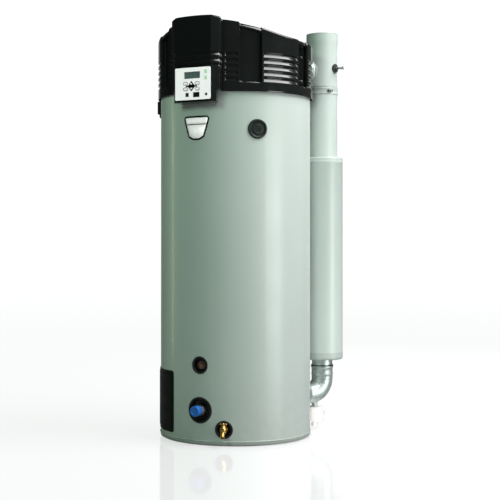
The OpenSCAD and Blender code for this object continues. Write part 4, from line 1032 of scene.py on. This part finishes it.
def make_sensor():
    """Brass pocket with its hexagon, sensor head, clip and lead."""
    frame_at = facing(*SENSOR, 0.3342)
    nut = prism(hexagon(0.0165), 0.0, 0.009)
    head = lathe([(0, 18.5), (6.2, 18.5), (6.2, 15), (9.8, 15), (10, 9)], 40, 0.0008, 3)
    clip = box((-0.009, -0.0015), (-0.006, 0.006), (0.0125, 0.0185))
    path = [Vector(p) * 0.001 for p in ((-2, 0, 18), (-6, -4, 19.5), (-10, -10, 18), (-13, -17, 13),
                                        (-14, -24, 5))]
    lead = sweep(path, [0.0023] * len(path), 14)
    add_piece("lower_sensor_pocket", merged(nut, head, clip), "sensor_brass", at=frame_at,
              replaces=["lower_sensor"], bevel=0.0006, angle=40)
    add_piece("lower_sensor_lead", lead, "socket_black", at=frame_at)


def make_drain_valve():
    """Drain cock: hexagon, tapered plug housing, gland nut, ringed spout and a lever handle."""
    stem = merged(moved(prism(hexagon(0.0168), 0.0, 0.009), facing(*DRAIN, 0.3342)),
                  moved(lathe([(11.2, 0), (11.2, 10), (13.2, 14), (13.2, 18), (11, 21), (11, 34)],
                              40, 0.0012, 3), facing(*DRAIN, 0.3432)))
    centre = outward(DRAIN[0]) * 0.376 + Vector((0, 0, DRAIN[1]))
    upright = Matrix.Translation(centre)
    housing = lathe([(0, -14.5), (8, -15), (12.6, -12.5), (13.8, -6), (15, 4), (14.6, 11.5),
                     (11.8, 14.2), (8.5, 14.6), (8.5, 23), (6.2, 24)], 48, 0.001, 2)
    gland = prism(hexagon(0.0108), 0.0146, 0.0205)
    spout_turn = turned(DRAIN[0], "Z") @ turned(135, "X")
    rings = mm([(8.5, 4), (8.5, 17), (10.4, 19.5)])
    for i in range(4):
        h = 0.0215 + 0.0045 * i
        rings += [(0.0102, h), (0.01, h + 0.003), (0.0088, h + 0.0035)]
    spout = spin(rings + mm([(9.6, 39.5), (7.6, 40.2), (6.2, 39.5), (6, 10)]), 44)
    add_piece("drain_valve_cock", merged(stem, moved(housing, upright), moved(gland, upright),
                                         moved(spout, upright @ spout_turn)), "valve_brass",
              replaces=["drain_valve_body"], bevel=0.0006, angle=40)
    turn = upright @ turned(DRAIN[0], "Z")
    hub = lathe([(3.3, 20.5), (3.3, 24.6), (7, 24.6), (7.2, 31), (5.5, 34), (0, 34.5)], 32, 0.001,
                3)
    lever_profile = mm([(0, -17), (2.4, -16.4), (4, -14), (4, -10), (3, -6), (3, 6), (4, 10),
                        (4, 14), (2.4, 16.4), (0, 17)])
    lever = moved(spin(lever_profile, 28), shifted(0, 0, 0.029) @ turned(90, "Y"))
    add_piece("drain_valve_lever", merged(hub, lever), "valve_brass", at=turn, body="drain_handle",
              replaces=["drain_valve_handle"])


# ---- Flue riser ----

FLUE_REACH = 0.472
FLUE = outward(FLUE_BEARING) * FLUE_REACH
ADAPTOR_R = 0.0745
BRANCH, TEST_POINT, CLAMP = (FLUE_BEARING, 1.744), (79, 1.755), (52, 1.644)


def on_flue(bearing, z, reach):
    return facing(bearing, z, reach, (FLUE.x, FLUE.y))


def standing():
    return shifted(FLUE.x, FLUE.y, 0)


def sagitta(r, x):
    """How far a round surface of radius r falls away at a distance x from its middle."""
    return r - sqrt(max(0.0, r * r - x * x))


def make_elbow():
    """Aluminium bend with pressed seams, beaded sockets and a condensate spigot."""
    out = outward(FLUE_BEARING)
    r = 0.0517
    path, radii = [], []

    def at(reach, z, radius):
        path.append(out * reach + Vector((0, 0, z)))
        radii.append(radius)

    for reach, radius in ((0.368, r + 0.0022), (0.3695, r + 0.0034), (0.3725, r + 0.0034),
                          (0.3745, r + 0.0022), (0.3755, r), (0.396, r)):
        at(reach, FLUE_LOW, radius)
    steps = 45
    for i in range(steps + 1):
        a = 90 * i / steps
        seam = max(0.0, 1 - abs((a % 18) - 9) / 1.9)
        ripple = 0.0016 * seam - 0.0012 * abs(sin(radians(a * 10)))
        at(0.402 + 0.07 * sin(radians(a)), 0.243 - 0.07 * cos(radians(a)), r + ripple)
    for z, radius in ((0.25, r), (0.262, r), (0.2635, r + 0.0016), (0.2665, r + 0.0016), (0.268, r),
                      (0.294, r), (0.2955, r + 0.0022), (0.299, r + 0.0036), (0.303, r + 0.003),
                      (0.305, r + 0.001)):
        at(FLUE_REACH, z, radius)
    bend = sweep(path, radii, 64, ends=False)
    place = outward(FLUE_BEARING) * 0.43
    spigot = moved(lathe([(11.5, 104), (14, 104), (14, 121), (16, 126), (16, 131)], 36, 0.001, 2),
                   shifted(place.x, place.y, 0))
    elbow = add_piece("flue_elbow_bend", merged(bend, spigot), "flue_aluminium",
                      replaces=["flue_elbow"])
    thicken(elbow, 0.0012)


def make_duct():
    """Corrugated aluminium duct between the adaptor's branch and the hood."""
    profile = []
    for i in range(85):
        h = i / 84
        profile.append((0.0524 + 0.0016 * cos(2 * pi * 7 * h) + 0.0002 * sin(19 * h), h * 0.0495))
    profile += [(0.0496, 0.0495), (0.0496, 0.0)]
    add_piece("air_duct_corrugated", spin(profile, 72, closed=True), "flue_aluminium",
              at=facing(*BRANCH, 0.345), replaces=["air_duct"])


def make_sleeve():
    """Painted sleeve with rolled ends, a lock seam and two swaged bands."""
    low, high, r = 0.337, 1.321, 0.101
    profile = [(0.055, low + 0.0015)] + soften([(0.057, low), (r, low), (r, low + 0.03)], 0.013, 8)
    for z in (low + 0.034, high - 0.022):
        profile += [(r, z - 0.003), (r + 0.0008, z - 0.0012), (r + 0.0008, z + 0.0012),
                    (r, z + 0.003)]
    profile += soften([(r, high - 0.012), (r + 0.0006, high - 0.004), (r - 0.002, high),
                       (0.0762, high + 0.0004), (0.0762, high - 0.004)], 0.0025, 4)
    shell = spin(profile, 128)
    seam = strips(bar(0.011, high - low - 0.08, 0.0008), 0.003)
    for v in seam.verts:
        turn = radians(200) + v.co.x / r
        v.co = Vector(((r + v.co.z) * sin(turn), -(r + v.co.z) * cos(turn), low + 0.044 + v.co.y))
    add_piece("sleeve_shell_rolled", merged(shell, seam), "pipe_paint", at=standing(),
              replaces=["sleeve_shell"])


def make_adaptor():
    """Adaptor's outer half with beads, a flared socket and the branch towards the hood."""
    r, branch_r = ADAPTOR_R, 0.049
    profile = mm([(-1.5, 1632), (0, 1632.5), (0, 1665), (0.6, 1667), (0.6, 1669), (0, 1671)], r)
    profile += soften(mm([(0, 1860), (2.6, 1888), (2.6, 1921.5), (3.4, 1925.5), (1.4, 1926),
                          (0.7, 1924.5), (0.7, 1887), (-1.5, 1860), (-1.5, 1632)], r), 0.003, 5)
    body = moved(spin(profile, 112), standing())
    tube = soften(mm([(49, 0), (49, 30), (47.5, 30), (47.5, -4)]), 0.0006, 2)
    branch = moved(spin(tube, 72), facing(*BRANCH, 0.377))
    weld = bmesh.new()
    rows = []
    for c, s in circle(72):
        row = []
        for grow, back in mm([(0.0, -4.0), (0.6, -1.2), (2.2, 0.8), (4.5, 1.4)]):
            reach = branch_r + grow
            height = 0.3975 + sagitta(r, reach * c) + back
            row.append(weld.verts.new((reach * c, reach * s, height)))
        rows.append(row)
    for a, b in zip(rows, rows[1:] + rows[:1]):
        for k in range(3):
            weld.faces.new((a[k], b[k], b[k + 1], a[k + 1]))
    weld = moved(weld, facing(*BRANCH, 0.0))
    add_piece("air_adaptor_socket", merged(body, branch, weld), "pipe_paint",
              replaces=["air_adaptor"])


def make_clamp():
    """Band clamp between the air pipe and the adaptor, with a black screw."""
    r = ADAPTOR_R
    band = spin(mm([(0.3, 1629), (2.2, 1629.2), (2.8, 1630.8), (2.8, 1632.8), (1.9, 1634.8),
                    (1.8, 1644), (1.8, 1653.2), (2.8, 1655.2), (2.8, 1657.2), (2.2, 1658.8),
                    (0.3, 1659)], r), 112, closed=True)
    lug_frame = on_flue(*CLAMP, r + 0.001)
    lugs = [moved(box((x, x + 0.0028), (-0.008, 0.008), (0.0, 0.0095)), lug_frame)
            for x in (-0.0062, 0.0034)]
    add_piece("adaptor_clamp_band", merged(moved(band, standing()), *lugs), "pipe_paint",
              replaces=["adaptor_clamp"], bevel=0.0005, angle=50)
    across = lug_frame @ shifted(-0.0135, 0, 0.0058) @ turned(90, "Y")
    shank = spin(mm([(0, 27.2), (2.2, 26.8), (2.2, 6)]), 20)
    nut = prism(hexagon(0.0047), 0.0215, 0.025)
    head = spin(mm([(0, 0), (4, 0.4), (4.6, 2), (4.6, 6.2), (2, 6.4)]), 24)
    bolt = merged(shank, nut, head)
    add_piece("adaptor_clamp_screw", bolt, "zinc_steel", at=across,
              material=finish("clamp_screw_black", (0.02, 0.02, 0.02), 0.4, 0.4, grain=0.2))


def make_test_point():
    """Rubber grommet, metal pin with its hexagon, and the pull-off cap."""
    r = ADAPTOR_R + 0.0002
    grommet = spin(mm([(6.8, 6.5), (8.5, 7.8), (12, 7.4), (17, 5.6), (20.5, 3.2), (21.2, 0.8),
                       (20.5, 0.1)]), 56)
    for v in grommet.verts:
        v.co.z -= sagitta(r, v.co.x)
    add_piece("test_point_grommet", grommet, "seal_rubber", at=on_flue(*TEST_POINT, r))
    pin = merged(
        spin(mm([(3, 0), (5.4, 0), (5.4, 30)]) + threads(0.0055, 0.01, 0.0013, 0.058)
             + mm([(5, 71.5), (5.4, 72.5), (5, 74.5), (4, 75.8), (3, 76)]), 36),
        prism(hexagon(0.0088), 0.0386, 0.0445))
    add_piece("test_nipple_pin", pin, "nipple_grey", at=on_flue(*TEST_POINT, 0.044),
              replaces=["test_nipple"], bevel=0.0004, angle=40)
    cap = lathe([(5.6, 0), (8, 0), (8.5, 1.2), (8.5, 15), (9.6, 16.8), (9.6, 22), (8, 23),
                 (3, 22.4), (0, 22.4)], 48, 0.0008, 3)
    add_piece("test_cap_moulding", cap, "cap_white", at=on_flue(*TEST_POINT, 0.1085),
              body="test_point_cap", replaces=["test_cap"])


def make_siphon():
    """Moulded condensate trap: ribbed box, clipped lid, outlet with a union nut and a drain leg."""
    cx, cy, hx, hy = 0.26, 0.342, 0.038, 0.03
    walls = prism(rounded_rectangle(2 * hx, 2 * hy, 0.006, 4), 0.034, 0.101)
    lid = prism(rounded_rectangle(2 * hx + 0.008, 2 * hy + 0.008, 0.009, 4), 0.1008, 0.1046)
    body = moved(merged(walls, lid), shifted(cx, cy, 0))
    ribs = []
    for i in range(-2, 3):
        for side in (-1, 1):
            x = cx + i * 0.0135
            y = sorted((cy + side * (hy - 0.001), cy + side * (hy + 0.0018)))
            ribs.append(box((x - 0.001, x + 0.001), y, (0.04, 0.1005)))
    for side in (-1, 1):
        for dy in (-0.013, 0.013):
            x = sorted((cx + side * (hx - 0.001), cx + side * (hx + 0.0028)))
            ribs.append(box(x, (cy + dy - 0.004, cy + dy + 0.004), (0.088, 0.1015)))
    leg = moved(lathe([(11, 10), (14.2, 10), (15, 12), (15, 24), (12.8, 26), (12.8, 36)], 36, 0.001,
                      3), shifted(cx, cy, 0))
    add_piece("siphon_box", merged(body, *ribs, leg), "siphon_white", replaces=["siphon"],
              bevel=0.001, angle=50)
    turn = shifted(cx + 0.008, cy, 0.074) @ turned(-90, "X")
    outlet = lathe([(17.5, 66), (20, 66), (20, 31), (20, 30)], 56, 0.0006, 2)
    nut = spin(mm([(20.1, 30), (22.2, 30), (23.2, 31.2), (23.2, 35.2), (21.5, 36), (20.1, 36)]), 60)
    for v in nut.verts:
        angle = degrees(atan2(v.co.y, v.co.x))
        if hypot(v.co.x, v.co.y) > 0.0229 and angle % 15 > 7.4:
            v.co.x, v.co.y = v.co.x * 0.965, v.co.y * 0.965
    add_piece("siphon_outlet", merged(outlet, nut), "siphon_white", at=turn)


def make_cable_box():
    """Flat-faced cable box under the hood's left edge, with rounded edges, and its glands."""
    bearing, face, low, high = -80, 0.366, 1.518, 1.5787
    half = 0.075
    deep = [sqrt(0.3532 ** 2 - (half * s / 12) ** 2) for s in range(-12, 13)]
    outline = [(-half, -face), (half, -face)]
    outline += [(half * s / 12, -deep[s + 12]) for s in range(12, -13, -1)]
    turn = turned(bearing, "Z")
    add_piece("cable_entry_box_shell", prism(outline, low, high), "hood_black", at=turn,
              replaces=["cable_entry_box"], bevel=0.0022, steps=3, angle=60)
    glands = []
    for s in (-1, 1):
        place = turn @ shifted(s * 0.05, -0.3576, low)
        glands.append(moved(prism(hexagon(0.0076), -0.0078, -0.0002), place @ turned(30, "Z")))
        glands.append(moved(spin(mm([(3.2, -15), (3.8, -16), (5.2, -15.8), (6.6, -12), (6.8, -8.5),
                                     (6, -7.8)]), 32), place))
    add_piece("cable_gland_pair", merged(*glands), "gland_grey", replaces=["cable_glands"],
              bevel=0.0005, angle=40)


# ---- Assembly ----


def dress_nodes():
    """Gives every carried-over CAD node its finish."""
    slots = {s["node"]: s["material_slot"] for s in frame["record"]["subparts"]}
    for node, thing in frame["nodes"].items():
        thing.data.materials.clear()
        thing.data.materials.append(MATERIALS[slots[node]])


MATERIALS = make_materials()
for make in (make_camera, make_world, make_lights, make_floor, dress_nodes, make_hood, make_housing,
             make_base_pan, make_jacket_trim, make_badge, make_panel_details,
             make_inspection_cover, make_relief_cap, make_collars, make_plug, make_nipples,
             make_sensor, make_drain_valve, make_elbow, make_duct, make_sleeve, make_adaptor,
             make_clamp, make_test_point, make_siphon, make_cable_box):
    make()
card = (0.9, 0.9)
PANEL_PIECES = ("badge_field_upper", "badge_field_lower", "up_key_face", "down_key_face")
PANEL_NODES = ("fascia", "button_menu", "button_reset", "button_back", "button_enter",
               "status_lamps")
nodes, pieces = frame["nodes"], bpy.data.objects
light_some("strip_left", (-4.2, -0.7, 1.3), (0, 0, 1.0), (0.22, 2.6), 12, (0.85, 1.0, 0.62),
           [nodes["jacket"], pieces["base_pan_rolled"]], glossy=True)
light_some("card_panel", (0.9, -3.4, 1.9), (0, -0.4, 1.55), card, 56, (1.0, 0.91, 0.97),
           [pieces[n] for n in PANEL_PIECES] + [nodes[n] for n in PANEL_NODES])
light_some("card_pipes", (1.6, -4.6, 1.2), (0.28, 0.37, 0.9), card, 70, (0.92, 1.0, 0.95),
           [nodes["air_pipe"], pieces["sleeve_shell_rolled"]])
light_some("card_siphon", (1.9, -3.6, 0.5), (0.26, 0.34, 0.07), card, 160, (1.0, 0.95, 0.95),
           [pieces["siphon_box"], pieces["siphon_outlet"]])
